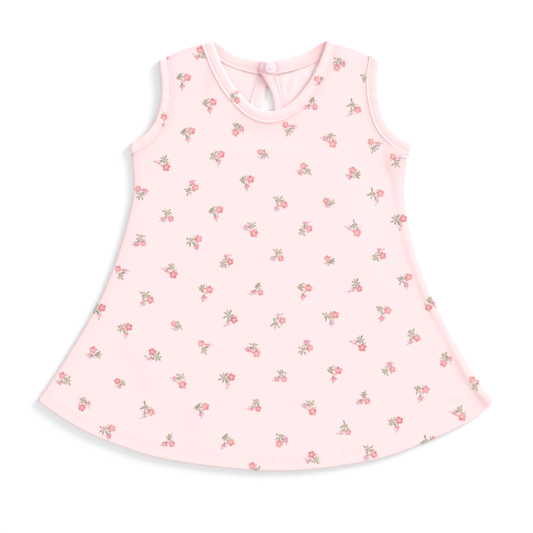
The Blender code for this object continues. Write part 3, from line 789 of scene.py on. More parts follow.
def sprig_at(place, kind, turn, seed):
    """A sprig's middle, and for each motif its centre, its turn, its size and its seed. The rose
    and the bud are turned so that their stems point to the leaves."""
    numbers = SPRIGS[kind]
    swing = np.array(((math.cos(turn), -math.sin(turn)), (math.sin(turn), math.cos(turn))))
    motifs = []
    leaves = swing @ np.array(numbers[:2]) / MILLIMETRES
    for i in (LEAVES_AT, ROSE_AT, BUD_AT):
        centre = swing @ np.array(numbers[i : i + 2]) / MILLIMETRES
        to_leaves = leaves - centre
        facing = turn
        if i != LEAVES_AT:
            facing = math.atan2(to_leaves[1], to_leaves[0]) - math.pi / 2
        motifs.append((place + centre, facing, numbers[i + 2], (seed * (i + 3) + i) % SEEDS))
    return place, motifs


def panel_sprigs():
    """The chart's sprigs, each slightly turned, and the loose ones."""
    chance = np.random.default_rng(PRINT_SEED)
    sprigs = []
    for line, kinds in enumerate(PRINT_CHART):
        row = CHART_TOP - line
        for i, kind in enumerate(kinds):
            column = CHART_LEFT + 2 * i + row % 2
            turn = math.radians(chance.uniform(-SPRIG_TURN, SPRIG_TURN))
            seed = int(chance.integers(SEEDS))
            if kind != ".":
                sprigs.append(sprig_at(place_in_rows(column, row), kind, turn, seed))
    for x, y, kind in LOOSE_SPRIGS:
        sprigs.append(sprig_at(np.array((x, y)), kind, 0.0, int(chance.integers(SEEDS))))
    return sprigs


def map_print(piece, corner_places, sprigs):
    """Gives each face the map of its nearest sprig's leaves, rose and bud, and its place on
    the cut cloth for the knit."""
    mesh = piece.data
    totals = np.empty(len(mesh.polygons), np.int32)
    mesh.polygons.foreach_get("loop_total", totals)
    owner = np.repeat(np.arange(len(totals)), totals)
    middles = np.column_stack([np.bincount(owner, corner_places[:, i]) for i in (0, 1)])
    middles /= totals[:, None]
    centres = np.array([sprig[0] for sprig in sprigs])
    nearest_sprig = np.linalg.norm(middles[:, None] - centres[None], axis=2).argmin(axis=1)
    of_corner = nearest_sprig[owner]
    for i, name in enumerate(("leaves map", "rose map", "bud map")):
        motifs = [sprig[1][i] for sprig in sprigs]
        centre, turn, size, seed = (np.array(column)[of_corner] for column in zip(*motifs))
        offset = corner_places - centre
        x = (offset[:, 0] * np.cos(turn) + offset[:, 1] * np.sin(turn)) / size / CELL
        y = (offset[:, 1] * np.cos(turn) - offset[:, 0] * np.sin(turn)) / size / CELL
        layer = mesh.uv_layers.new(name=name)
        u = np.clip(x, -CELL_EDGE, CELL_EDGE) + 0.5 + seed
        v = np.clip(y, -CELL_EDGE, CELL_EDGE) + 0.5
        layer.data.foreach_set("uv", np.column_stack([u, v]).ravel())
    layer = mesh.uv_layers.new(name="cloth map")
    layer.data.foreach_set("uv", corner_places.ravel())


def vertices_flat(piece):
    """The (x, y) place of each vertex of a piece."""
    places = np.empty(len(piece.data.vertices) * 3)
    piece.data.vertices.foreach_get("co", places)
    return places.reshape(-1, 3)[:, :2]


def corners_flat(piece):
    """The (x, y) place of each face corner of a piece."""
    index = np.empty(len(piece.data.loops), np.int32)
    piece.data.loops.foreach_get("vertex_index", index)
    return vertices_flat(piece)[index]


def set_painted_shade(piece, amounts):
    """The painted rosy shade at each point, deeper where it lies in a seam or under an edge."""
    layer = piece.data.attributes.new("painted_shade", "FLOAT", "POINT")
    layer.data.foreach_set("value", np.clip(amounts, 0.0, 1.0))


class Number:
    """A number in a shader. Reckoning with it adds Math nodes to the shader."""

    def __init__(self, socket):
        self.socket = socket
        self.tree = socket.id_data

    def __add__(self, other):
        return reckoned("ADD", self, other)

    def __sub__(self, other):
        return reckoned("SUBTRACT", self, other)

    def __rsub__(self, other):
        return reckoned("SUBTRACT", other, self)

    def __mul__(self, other):
        return reckoned("MULTIPLY", self, other)

    def __truediv__(self, other):
        return reckoned("DIVIDE", self, other)

    def __pow__(self, other):
        return reckoned("POWER", self, other)

    def __gt__(self, other):
        return reckoned("GREATER_THAN", self, other)

    def __lt__(self, other):
        return reckoned("LESS_THAN", self, other)


def connect(socket, value):
    """Gives a node's input a Number, another node's output, a colour or a plain number."""
    if isinstance(value, Number):
        value = value.socket
    if isinstance(value, bpy.types.NodeSocket):
        socket.id_data.links.new(value, socket)
    elif socket.type == "RGBA":
        socket.default_value = (*value, 1.0)
    else:
        socket.default_value = value


def reckoned(operation, *values):
    """The outcome of a Math node, of which one value at least is a Number."""
    tree = next(value.tree for value in values if isinstance(value, Number))
    node = tree.nodes.new("ShaderNodeMath")
    node.operation = operation
    for socket, value in zip(node.inputs, values):
        connect(socket, value)
    return Number(node.outputs[0])


def mixed(amount, first, second):
    """A colour between two, each another node's output or three plain numbers."""
    node = amount.tree.nodes.new("ShaderNodeMix")
    node.data_type = "RGBA"
    for name, value in (("Factor_Float", amount), ("A_Color", first), ("B_Color", second)):
        connect(next(item for item in node.inputs if item.identifier == name), value)
    return next(item for item in node.outputs if item.identifier == "Result_Color")


def parts_of(output, kind="XYZ"):
    """The three Numbers of a vector or, with "Color" for kind, of a colour."""
    node = output.id_data.nodes.new("ShaderNodeSeparate" + kind)
    connect(node.inputs[0], output)
    return [Number(part) for part in node.outputs]


def noise(place, scale, detail=2.0):
    """A soft noise at a place, as a Number and as a colour."""
    node = place.id_data.nodes.new("ShaderNodeTexNoise")
    connect(node.inputs["Vector"], place)
    connect(node.inputs["Scale"], scale)
    connect(node.inputs["Detail"], detail)
    return Number(node.outputs[0]), node.outputs["Color"]


def new_group(name, inputs, outputs):
    """An empty shader group, its inputs and its outputs by name."""
    tree = bpy.data.node_groups.new(name, "ShaderNodeTree")
    for direction, sockets in (("INPUT", inputs), ("OUTPUT", outputs)):
        for socket_name, kind in sockets.items():
            kind = "NodeSocket" + kind
            tree.interface.new_socket(name=socket_name, in_out=direction, socket_type=kind)
    start = tree.nodes.new("NodeGroupInput")
    end = tree.nodes.new("NodeGroupOutput")
    return tree, start.outputs, end.inputs


def use_group(tree, group, values):
    """Places a group in a shader, and returns its outputs."""
    node = tree.nodes.new("ShaderNodeGroup")
    node.node_tree = group
    for name, value in values.items():
        connect(node.inputs[name], value)
    return node.outputs


def larger(first, second):
    return reckoned("MAXIMUM", first, second)


def clamped(value):
    return reckoned("MINIMUM", larger(value, 0.0), 1.0)


def cover(depth, softness):
    """1 where the depth is above nought and 0 where it is below, with a soft edge."""
    return clamped(depth / softness + 0.5)


def far_from(x, y):
    """Distance from a point, from the two offsets."""
    return reckoned("SQRT", x**2.0 + y**2.0)


# Colours of the cloth and of its inks
CLOTH = (0.950, 0.742, 0.745)
# the rosy colour of the painted shade, mixed into the cloth where it lies in shade
PAINTED_SHADE_ROSE = (0.86, 0.36, 0.38)
CLOTH_INSIDE = (0.955, 0.775, 0.778)
LEAF_DARK = (0.110, 0.165, 0.075)
LEAF_PALE = (0.395, 0.465, 0.265)
LEAF_RED = (0.420, 0.150, 0.100)
ROSE = (0.720, 0.155, 0.205)
ROSE_PALE = (0.830, 0.350, 0.370)
ROSE_DEEP = (0.640, 0.060, 0.150)
ROSE_HEART = (0.920, 0.600, 0.500)
BUD_PINK = (0.770, 0.270, 0.340)
BUD_PALE = (0.880, 0.550, 0.600)
LILAC = (0.600, 0.560, 0.680)
CALYX = (0.160, 0.170, 0.120)
INK_STRENGTH = 0.88
GROWN = 1.11  # the motifs are drawn larger by this
HAND_SCALE = 34.0  # the motifs' hand-painted unevenness, per cell
HAND_SHAKE = 1.5  # and its depth in millimetres
SOFT, PETAL_SOFT, CRISP = 0.6, 0.55, 0.4  # widths of the inks' soft edges
# The star of leaves, in millimetres
LEAVES = 7
LEAF_SHORT, LEAF_LONG, LEAF_BELLY, LEAF_STALK = 2.4, 5.8, 2.7, 0.1
LEAF_TAPER = (1.4, 0.8)  # powers of the taper to the middle and to the tip
LEAF_THINNEST = 0.02
LEAF_LEAN = 0.4  # radians between the leaves that lean the most
LEAVES_HEART = 0.7
REDDISH, REDDISH_FROM = 0.60, 0.80  # how red the leaves with a higher chance are
AUTUMN, AUTUMN_FROM = 0.45, 0.6  # and the hearts of the stars with a higher chance
AUTUMN_STEP, AUTUMN_AT, AUTUMN_FADE = 0.37, 1.5, 0.6
# The rose, in millimetres: its petals' distance and sizes, and its disc, heart and eye
PETALS = 5
PETAL_OUT, PETAL_SMALL, PETAL_LARGE = 2.15, 1.15, 1.55
ROSE_DISC, HEART, HEART_SOFT = 1.35, 1.05, 0.7
EYE, EYE_AT, EYE_DEPTH = 0.42, (-0.35, 0.25), 0.55
RIM, RIM_DEPTH = 0.4, 0.45  # outside this distance from its centre a petal is deeper
FOLD, FOLD_DEPTH = 0.8, 0.35  # and inside this distance it is paler
# The bud, in millimetres: its petals' distance and sizes, its core, its calyx and its stem
BUD_PETALS = 4
BUD_PETAL_OUT, BUD_PETAL_SMALL, BUD_PETAL_LARGE = 1.4, 0.95, 1.45
BUD_PALE_FROM, LILAC_FROM = 0.35, 0.66  # the chances of petals of another colour
CORE, CORE_AT, CORE_SOFT, CORE_DEPTH = 0.75, (0.5, -0.4), 0.5, 0.8
CALYX_RADIUS, CALYX_UP, CALYX_SOFT = 0.75, 1.6, 0.35
STEM_HALF, STEM_START, STEM_END, STEM_SOFT = 0.2, 1.0, 4.5, 0.3
PALEST_LEAF = 0.7
# Small leaves beside the rose and the bud: centre, lean, half width and half length
ROSE_BLADES = (((2.9, 2.5), 0.8, (0.5, 1.3)), ((-3.1, 2.1), -0.8, (0.5, 1.2)))
BUD_BLADES = (((1.3, 3.0), 0.9, (0.45, 1.1)), ((-1.9, -2.4), 1.1, (0.45, 1.1)))


def motif_place(place):
    """x and y in millimetres from a motif's centre, uneven as if by hand, and its seed, from
    its map."""
    along, up, _ = parts_of(place)
    shakes = parts_of(noise(place, HAND_SCALE, detail=1.0)[1], "Color")
    offsets = []
    for value, shake in ((reckoned("FRACT", along), shakes[0]), (up, shakes[1])):
        plain = (value - 0.5) * (CELL * MILLIMETRES / GROWN)
        offsets.append((shake - 0.5) * HAND_SHAKE + plain)
    return *offsets, reckoned("FLOOR", along)


def sectors(x, y, count, seed):
    """For the nearest of a ring of spokes, the distance from the middle, the offsets along and
    beside the spoke at an angle of its own, and three chances of its own between 0 and 1."""
    angle = reckoned("ARCTAN2", y, x)
    which = reckoned("ROUND", angle * (count / 2 / math.pi))
    join = x.tree.nodes.new("ShaderNodeCombineXYZ")
    connect(join.inputs[0], reckoned("FLOORED_MODULO", which, count))
    connect(join.inputs[1], seed)
    dice = x.tree.nodes.new("ShaderNodeTexWhiteNoise")
    dice.noise_dimensions = "2D"
    connect(dice.inputs["Vector"], join.outputs[0])
    chances = parts_of(dice.outputs["Color"], "Color")
    return far_from(x, y), angle - which * (2 * math.pi / count), chances


def blade(x, y, centre, lean, size):
    """A small slanting leaf."""
    beyond = y - centre[1]
    aside = x - centre[0] - beyond * lean
    return cover(1.0 - far_from(aside / size[0], beyond / size[1]), SOFT)


def petals(radius, angle, out, small, large, chance):
    """Round petals on the spokes, each of its own size: their cover, and the distance from the
    nearest one's centre."""
    from_petal = far_from(radius * reckoned("COSINE", angle) - out, radius * reckoned("SINE", angle))
    return cover(chance * (large - small) + small - from_petal, PETAL_SOFT), from_petal


def new_motif(name):
    """An empty group for a motif: its inputs, its outputs, and x, y and seed."""
    tree, start, end = new_group(name, {"Place": "Vector"}, {"Amount": "Float", "Ink": "Color"})
    return tree, end, *motif_place(start["Place"])


def leaves_group():
    """A spiky star of narrow leaves, each with its own length, lean and tone."""
    tree, end, x, y, seed = new_motif("leaves ink")
    radius, angle, chances = sectors(x, y, LEAVES, seed)
    angle = angle + (chances[0] - 0.5) * LEAF_LEAN
    along = radius * reckoned("COSINE", angle)
    beside = reckoned("ABSOLUTE", radius * reckoned("SINE", angle))
    share = clamped(along / (chances[1] * (LEAF_LONG - LEAF_SHORT) + LEAF_SHORT))
    belly = share ** LEAF_TAPER[0] * (1.0 - share) ** LEAF_TAPER[1]
    width = (belly * LEAF_BELLY + share * LEAF_STALK) * (share < 1.0)
    leaf = cover(width - beside, CRISP) * (width > LEAF_THINNEST)
    connect(end["Amount"], larger(leaf, cover(LEAVES_HEART - radius, SOFT)))
    colour = mixed(chances[2], LEAF_DARK, LEAF_PALE)
    colour = mixed((chances[0] > REDDISH_FROM) * REDDISH, colour, LEAF_RED)
    autumn = (reckoned("FRACT", seed * AUTUMN_STEP) > AUTUMN_FROM) * AUTUMN
    near = clamped(AUTUMN_AT - radius * AUTUMN_FADE)
    connect(end["Ink"], mixed(autumn * near, colour, LEAF_RED))
    return tree


def rose_group():
    """An open rose of five round petals, each of its own tone, round a pale heart, with two
    leaves behind it."""
    tree, end, x, y, seed = new_motif("rose ink")
    radius, angle, chances = sectors(x, y, PETALS, seed)
    petal, from_petal = petals(radius, angle, PETAL_OUT, PETAL_SMALL, PETAL_LARGE, chances[0])
    flower = larger(petal, cover(ROSE_DISC - radius, CRISP))
    leaf = larger(*(blade(x, y, *shape) for shape in ROSE_BLADES))
    connect(end["Amount"], larger(flower, leaf))
    tone = chances[1] * 2.0
    colour = mixed(clamped(tone), ROSE_PALE, ROSE)
    colour = mixed(clamped(tone - 1.0), colour, ROSE_DEEP)
    colour = mixed(clamped(from_petal - RIM) * RIM_DEPTH, colour, ROSE_DEEP)
    colour = mixed(clamped(FOLD - from_petal) * FOLD_DEPTH, colour, ROSE_PALE)
    colour = mixed(cover(HEART - radius, HEART_SOFT), colour, ROSE_HEART)
    eye = cover(EYE - far_from(x - EYE_AT[0], y - EYE_AT[1]), CRISP)
    colour = mixed(eye * EYE_DEPTH, colour, LEAF_RED)
    connect(end["Ink"], mixed(flower, LEAF_PALE, colour))
    return tree


def bud_group():
    """A small flower of pink and lilac petals, with a dark calyx, a stem and small leaves."""
    tree, end, x, y, seed = new_motif("bud ink")
    radius, angle, chances = sectors(x, y, BUD_PETALS, seed)
    sizes = (BUD_PETAL_OUT, BUD_PETAL_SMALL, BUD_PETAL_LARGE)
    flower, _ = petals(radius, angle, *sizes, chances[0])
    colour = mixed(chances[1] > BUD_PALE_FROM, BUD_PINK, BUD_PALE)
    colour = mixed(chances[1] > LILAC_FROM, colour, LILAC)
    core = cover(CORE - far_from(x - CORE_AT[0], y - CORE_AT[1]), CORE_SOFT)
    colour = mixed(core * CORE_DEPTH, colour, ROSE_DEEP)
    calyx = cover(CALYX_RADIUS - far_from(x, y - CALYX_UP), CALYX_SOFT)
    stem = cover(STEM_HALF - reckoned("ABSOLUTE", x), STEM_SOFT)
    green = larger(stem * ((y > STEM_START) * (y < STEM_END)), calyx)
    for shape in BUD_BLADES:
        green = larger(green, blade(x, y, *shape))
    connect(end["Amount"], larger(flower, green))
    leafy = mixed(chances[2] * PALEST_LEAF, LEAF_DARK, LEAF_PALE)
    leafy = mixed(calyx, leafy, CALYX)
    connect(end["Ink"], mixed(green, colour, leafy))
    return tree


def print_group():
    """The whole sprig on the cloth's colour."""
    inputs = {"Cloth": "Color", "Leaves": "Vector", "Rose": "Vector", "Bud": "Vector"}
    tree, start, end = new_group("rose sprig print", inputs, {"Colour": "Color"})
    colour = start["Cloth"]
    for name, group in (("Leaves", leaves_group()), ("Bud", bud_group()), ("Rose", rose_group())):
        motif = use_group(tree, group, {"Place": start[name]})
        colour = mixed(Number(motif["Amount"]) * INK_STRENGTH, colour, motif["Ink"])
    connect(end["Colour"], colour)
    return tree


KNIT_WALE = 0.00085  # width of a knitted stitch
KNIT_COURSE = 0.00065  # height of a knitted stitch
KNIT_SLANT = 1.5  # courses that a stitch's legs climb over a wale
KNIT_DIP = 0.25  # half of the drop from a stitch to the next
WANDER, WANDER_SCALE = 0.9, 160.0  # the columns' unevenness, in stitches
FUZZ, FUZZ_SCALE = 0.5, 900.0
CLOUD_SCALE, CLOUD_SHARE = 38.0, 0.5  # the tone's soft unevenness
CLOUD_START = (1.0 - CLOUD_SHARE) / 2
GRAIN_STRENGTH, GRAIN_DEPTH = 0.35, 0.00012  # the knit's relief


def knit_group():
    """Jersey's columns of V stitches, slightly uneven, from a place on the cloth in metres."""
    outputs = {"Height": "Float", "Tone": "Float"}
    tree, start, end = new_group("jersey knit", {"Place": "Vector"}, outputs)
    place = start["Place"]
    x, y, _ = parts_of(place)
    shift = (noise(place, WANDER_SCALE)[0] - 0.5) * WANDER
    beside = reckoned("ABSOLUTE", reckoned("FRACT", x / KNIT_WALE + shift) - 0.5)
    course = y / KNIT_COURSE + shift + beside * KNIT_SLANT
    loop = reckoned("COSINE", course * (2 * math.pi)) * KNIT_DIP + (1.0 - KNIT_DIP)
    height = loop * reckoned("SINE", beside * (2 * math.pi))
    connect(end["Height"], noise(place, FUZZ_SCALE, detail=3.0)[0] * FUZZ + height)
    connect(end["Tone"], noise(place, CLOUD_SCALE, detail=4.0)[0] * CLOUD_SHARE + CLOUD_START)
    return tree


PRINT_GROUP = print_group()
KNIT_GROUP = knit_group()
CLOTH_SHADE = 0.965  # the cloth's darker tone, as a share of its colour
# how strongly the painted rosy shade is mixed in at its fullest
PAINTED_SHADE_STRENGTH = 0.7
# A matt cloth with a soft nap
JERSEY_GLOSS = {
    "Roughness": 0.92,
    "Specular IOR Level": 0.15,
    "Sheen Weight": 0.20,
    "Sheen Roughness": 0.55,
}


def uv_place(tree, name):
    node = tree.nodes.new("ShaderNodeUVMap")
    node.uv_map = name
    return node.outputs[0]


def jersey(name, colour, printed):
    """Brushed cotton jersey: the print, a soft nap, and the knit's fine relief."""
    material, tree, shader = new_material(name, JERSEY_GLOSS)
    knit = use_group(tree, KNIT_GROUP, {"Place": uv_place(tree, "cloth map")})
    shade = [channel * CLOTH_SHADE for channel in colour]
    cloth = mixed(Number(knit["Tone"]), colour, shade)
    # Rosy shade painted into the cloth's colour, as much as the point attribute gives, in seams,
    # folds and under edges
    painted_shade = tree.nodes.new("ShaderNodeAttribute")
    painted_shade.attribute_name = "painted_shade"
    cloth = mixed(Number(painted_shade.outputs["Fac"]) * PAINTED_SHADE_STRENGTH, cloth, PAINTED_SHADE_ROSE)
    if printed:
        maps = {part: uv_place(tree, part.lower() + " map") for part in ("Leaves", "Rose", "Bud")}
        cloth = use_group(tree, PRINT_GROUP, {"Cloth": cloth, **maps})["Colour"]
    connect(shader.inputs["Base Color"], cloth)
    grain = tree.nodes.new("ShaderNodeBump")
    connect(grain.inputs["Strength"], GRAIN_STRENGTH)
    connect(grain.inputs["Distance"], GRAIN_DEPTH)
    connect(grain.inputs["Height"], knit["Height"])
    connect(shader.inputs["Normal"], grain.outputs["Normal"])
    return material


PRINTED_JERSEY = jersey("rose-printed pink jersey", CLOTH, printed=True)
# Painted rosy shade on the front beside its bindings' seams, its side and shoulder seams and in the
# ridge's valley: how much, and over what runs
BINDING_PAINTED_SHADE, BINDING_PAINTED_SHADE_RUN = 0.40, 0.0009
WIDE_PAINTED_SHADE, WIDE_PAINTED_SHADE_RUN = 0.16, 0.0060
SEAM_PAINTED_SHADE, SEAM_PAINTED_SHADE_RUN = 0.16, 0.0026
SHOULDER_PAINTED_SHADE, SHOULDER_PAINTED_SHADE_RUN = 0.30, 0.0020
VALLEY_PAINTED_SHADE = 0.24


def make_front():
    outline = front_outline
    margin = FRONT_ROWS[-1] + 0.5 * FRONT_SPACING
    upper = [rows_inside(outline, FRONT_ROWS), field_inside(outline, margin, FRONT_SPACING)]
    lower = [rows_inside(outline, UNDER_ROWS), field_inside(outline, UNDER_MARGIN, UNDER_SPACING)]
    piece = cloth_panel("front", outline, upper, lower, front_top, front_low)
    map_print(piece, corners_flat(piece), panel_sprigs())
    flat = vertices_flat(piece)
    clear = np.maximum(beyond_bindings(flat)[0], 0.0)
    to_shoulders = to_paths(flat, (shoulder_seam_left, shoulder_seam_right))
    # Painted rosy shade beside the bindings' seams, the side and shoulder seams, in the ridge's
    # valley and in the listed spots
    painted_shade = BINDING_PAINTED_SHADE * bump(clear, 0.0, BINDING_PAINTED_SHADE_RUN)
    painted_shade += WIDE_PAINTED_SHADE * np.exp(-clear / WIDE_PAINTED_SHADE_RUN)
    painted_shade += SEAM_PAINTED_SHADE * np.exp(-to_seams(flat) / SEAM_PAINTED_SHADE_RUN)
    painted_shade += SHOULDER_PAINTED_SHADE * np.exp(-to_shoulders / SHOULDER_PAINTED_SHADE_RUN)
    painted_shade += VALLEY_PAINTED_SHADE * side_ridge(flat)[1]
    set_painted_shade(piece, painted_shade + relief(flat, PAINTED_SHADE_SPOTS))
    piece.data.materials.append(PRINTED_JERSEY)
    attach(piece, "root")
    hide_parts("front_panel")
    return piece


front = make_front()


# ---------------------------------------------------------------- back
# One piece on the fold, wrong side showing inside the neck. Its neckline is high, and a
# drop-shaped slit is cut at centre back, from the neck down.
LEFT_END = 0.0094  # x of the neck binding's ends, where the right one laps over the left
RIGHT_END = -0.0040
BACK_NECK = (
    NECK_POINT_LEFT,
    (-0.0432, 0.1975),
    (-0.0301, 0.1890),
    (-0.0141, 0.1838),
    (0.0019, 0.1812),
    (0.0160, 0.1832),
    (0.0301, 0.1872),
    (0.0432, 0.1930),
    NECK_POINT_RIGHT,
)
BACK_NECK_SPACING = 0.6 * EDGE_SPACING
# y; x of the left slit edge, left seam, right slit edge and right seam; the height of the right
# leg's underside at its slit edge and at its seam, where it laps the left
KEYHOLE = (
    (0.1697, 0.0062, -0.0069, -0.0052, 0.0100, 0.0026, 0.0024),
    (0.1645, 0.0045, -0.0083, -0.0021, 0.0110, 0.0021, 0.0017),
    (0.1592, 0.0017, -0.0103, 0.0011, 0.0124, 0.0018, 0.0010),
    (0.1542, 0.0000, -0.0120, 0.0040, 0.0135, 0.0012, 0.0006),
    (0.1476, -0.0014, -0.0139, 0.0061, 0.0150, 0.0005, 0.0002),
    (0.1410, -0.0022, -0.0154, 0.0072, 0.0162, 0.0, 0.0),
    (0.1344, -0.0021, -0.0160, 0.0077, 0.0174, 0.0, 0.0),
)
SLIT_COLUMNS = (1, 3)
SEAM_COLUMNS = (2, 4)
SLIT_LOW, SEAM_LOW = 5, 6
KEYHOLE_SPACING = 0.0016
FOOT_STEPS = 20  # round the keyhole's foot
FINE_SHARE = 8  # the back neck's curve is cut from one with this many more points
ALLOWANCE = 0.007
BACK_EXTRA = 0.0013  # the neck binding is this much wider on the back
NECK_LIFT = 0.0003  # the back stands up a little where it shows in the neck
NECK_LIFT_RUN = 0.006
STUD_CENTRE = (0.0042, 0.1753)
STUD_RADIUS = 0.00525
HEAD = 0.0008  # thickness of the outer half's head, under the cloth
CLIMB_RUN = 0.020  # the binding climbs on to that head over this run
LAP_RUN = 0.030  # and on to the left end over this run
LAP_CLEAR = 0.0010
LIFT_RUN = 0.016  # the back comes up with the lifted neck binding over this run
LIFT_SHARE = 0.5
BACK_TUCK = 0.0006  # height of the tucked edge's top above the table
BACK_TUCK_RISE = 0.0022
BACK_FINE = (-0.062, 0.070, 0.110)  # finer cloth from x to x, above y, where it shows
BACK_ROWS = (0.0006, 0.0013, 0.0022, 0.0034)
BACK_UNDER_ROWS = (0.0006, 0.0014, 0.0034)
# Margin and spacing of the back's inner points: where it shows, elsewhere, and underneath
FINE_FIELD = (0.0048, 0.0026)
COARSE_FIELD = (0.0070, 0.0090)
BACK_UNDER_FIELD = (0.0100, 0.0200)
# Painted rosy shade on the back beside its neck and keyhole seams, its run, and an even share of it
# over the whole back
BACK_SEAM_PAINTED_SHADE, BACK_PAINTED_SHADE_RUN, BACK_EVEN_PAINTED_SHADE = 0.60, 0.0010, 0.04
# Small folds of the back beside the keyhole, in the columns of the front's
BACK_CREASES = (
    (0.0205, 0.1600, 78, 0.012, 0.0022, -0.00050),
    (0.0245, 0.1580, 74, 0.011, 0.0024, 0.00045),
    (-0.0180, 0.1600, 62, 0.010, 0.0030, 0.00030),
    (-0.0270, 0.1680, 40, 0.010, 0.0030, -0.00025),
    (0.0360, 0.1690, -46, 0.012, 0.0032, 0.00035),
)


def back_neck_between(first_x, last_x):
    """The back neckline from one x to another."""
    fine = curve(BACK_NECK, EDGE_SPACING / FINE_SHARE)
    fine = fine[(fine[:, 0] >= first_x) & (fine[:, 0] <= last_x)]
    return evenly(fine, BACK_NECK_SPACING)


def keyhole_edge(columns):
    """An edge of the keyhole, down the left leg, round the foot and up the right leg."""
    left, right = (curve(knots_of(KEYHOLE, column), KEYHOLE_SPACING) for column in columns)
    centre = (left[-1] + right[-1]) / 2
    radius = np.linalg.norm(right[-1] - left[-1]) / 2
    turns = np.linspace(math.pi, 2 * math.pi, FOOT_STEPS + 1)[1:-1]
    foot = centre + radius * np.column_stack([np.cos(turns), np.sin(turns)])
    return np.vstack([left, foot, right[::-1]])


neck_back_left = Strip(
    back_neck_between(NECK_POINT_LEFT[0], LEFT_END),
    NECK_WIDTH,
    first=-shoulder_left,
    at_first=below_left,
    extra=BACK_EXTRA,
)
neck_back_right = Strip(
    back_neck_between(RIGHT_END, NECK_POINT_RIGHT[0]),
    NECK_WIDTH,
    last=-shoulder_right,
    at_last=below_right,
    extra=BACK_EXTRA,
)
keyhole_seam = keyhole_edge(SEAM_COLUMNS)
slit = moved_in(keyhole_seam, -TUCK)
slit[0] = keyhole_seam[0] + (TUCK, 0)
slit[-1] = keyhole_seam[-1] - (TUCK, 0)
neck_left = neck_back_left.tucked()[1:]
neck_right = neck_back_right.tucked()[:-1]
neck_left = neck_left[neck_left[:, 0] < slit[0, 0] - TUCK]
neck_right = neck_right[neck_right[:, 0] > slit[-1, 0] + TUCK]
back_outline = np.vstack([sides_up, neck_left, slit, neck_right, sides_down, hem[1:-1]])
neck_hole = np.vstack(
    [neck_front.edge, neck_back_right.edge[-2::-1], neck_back_left.edge[:0:-1]]
)
BACK_SEAMS = (neck_back_left.seam, neck_back_right.seam, keyhole_seam)


def left_end_low(x):
    """Height of the underside of the neck binding's left end, which climbs on to the head."""
    return (HEAD + GAP) * (1.0 - swell(np.abs(x - STUD_CENTRE[0]) - STUD_RADIUS, CLIMB_RUN))


def right_end_low(x):
    """Height of the underside of its right end, which laps over the left."""
    lap = 1.0 - swell(x - LEFT_END - LAP_CLEAR, LAP_RUN)
    return left_end_low(x) + (BINDING + GAP) * lap


def lift_at(points):
    """How far the neck binding beside a point is lifted by the press stud and by the lap."""
    x = points[:, 0]
    lifted = np.where(x > STUD_CENTRE[0], right_end_low(x), left_end_low(x))
    return lifted * (1.0 - swell(to_paths(points, BACK_SEAMS[:2]), LIFT_RUN))


def back_top(points):
    """Height of the back's upper side."""
    seams = to_seams(points)
    allowance = 1.0 - swell(seams - ALLOWANCE, STEP_RUN)
    doubled = np.maximum(allowance, hem_share(points))
    lift = lift_at(points)
    height = WALL + (DOUBLE_WALL - WALL) * doubled
    height += LIFT_SHARE * lift
    height += relief(points, BACK_CREASES)
    from_neck = np.where(inside(points, neck_hole), distance(points, closed(neck_hole)), 0.0)
    height += NECK_LIFT * swell(from_neck, NECK_LIFT_RUN)
    under = inside(points, keyhole_seam)
    for strip in (neck_back_left, neck_back_right):
        under |= distance(points, strip.edge) < strip.width
    bindings = to_paths(points, BACK_SEAMS) * np.where(under, -1.0, 1.0)
    tuck = BACK_TUCK + lift
    height = tuck + (height - tuck) * roll(bindings + TUCK_START, BACK_TUCK_RISE)
    height = SEAM_MEETS + (height - SEAM_MEETS) * roll(seams, SIDE_ROUND)
    hem_middle = DOUBLE_WALL / 2
    return hem_middle + (height - hem_middle) * roll(distance(points, hem), HEM_ROUND)


def back_low(points):
    """Height of the back's underside, on the table but at its rounded edges."""
    at_seams = SEAM_MEETS * (1.0 - roll(to_seams(points), SIDE_ROUND))
    at_hem = DOUBLE_WALL / 2 * (1.0 - roll(distance(points, hem), HEM_ROUND))
    return np.maximum(at_seams, at_hem)


def shows_in_neck(points):
    """Which points of the back lie where it shows in the neck."""
    left_x, right_x, low_y = BACK_FINE
    return (points[:, 0] > left_x) & (points[:, 0] < right_x) & (points[:, 1] > low_y)


def hidden(points):
    return ~shows_in_neck(points)


JERSEY_INSIDE = jersey("pink jersey, wrong side", CLOTH_INSIDE, printed=False)


def make_back():
    outline = back_outline
    fine = field_inside(outline, *FINE_FIELD, shows_in_neck)
    upper = [rows_inside(outline, BACK_ROWS), fine, field_inside(outline, *COARSE_FIELD, hidden)]
    lower = [rows_inside(outline, BACK_UNDER_ROWS), field_inside(outline, *BACK_UNDER_FIELD)]
    piece = cloth_panel("back", outline, upper, lower, back_top, back_low)
    map_print(piece, corners_flat(piece), panel_sprigs())
    # Painted rosy shade beside the neck and keyhole seams, where the bindings shade the back
    near = to_paths(vertices_flat(piece), BACK_SEAMS)
    set_painted_shade(piece, BACK_SEAM_PAINTED_SHADE * np.exp(-near / BACK_PAINTED_SHADE_RUN) + BACK_EVEN_PAINTED_SHADE)
    piece.data.materials.append(JERSEY_INSIDE)
    piece.data.materials.append(PRINTED_JERSEY)
    for face in piece.data.polygons:
        if face.normal.z < 0:
            face.material_index = 1
    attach(piece, "root")
    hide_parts("back_panel")


make_back()


# ---------------------------------------------------------------- armhole bindings
# A strip of the same jersey, folded lengthwise round the raw edge of each armhole and sewn
# through, so that the seam beside it sinks in and the strip stands up in a fine bead.
CLOTH_THICK = 0.0006
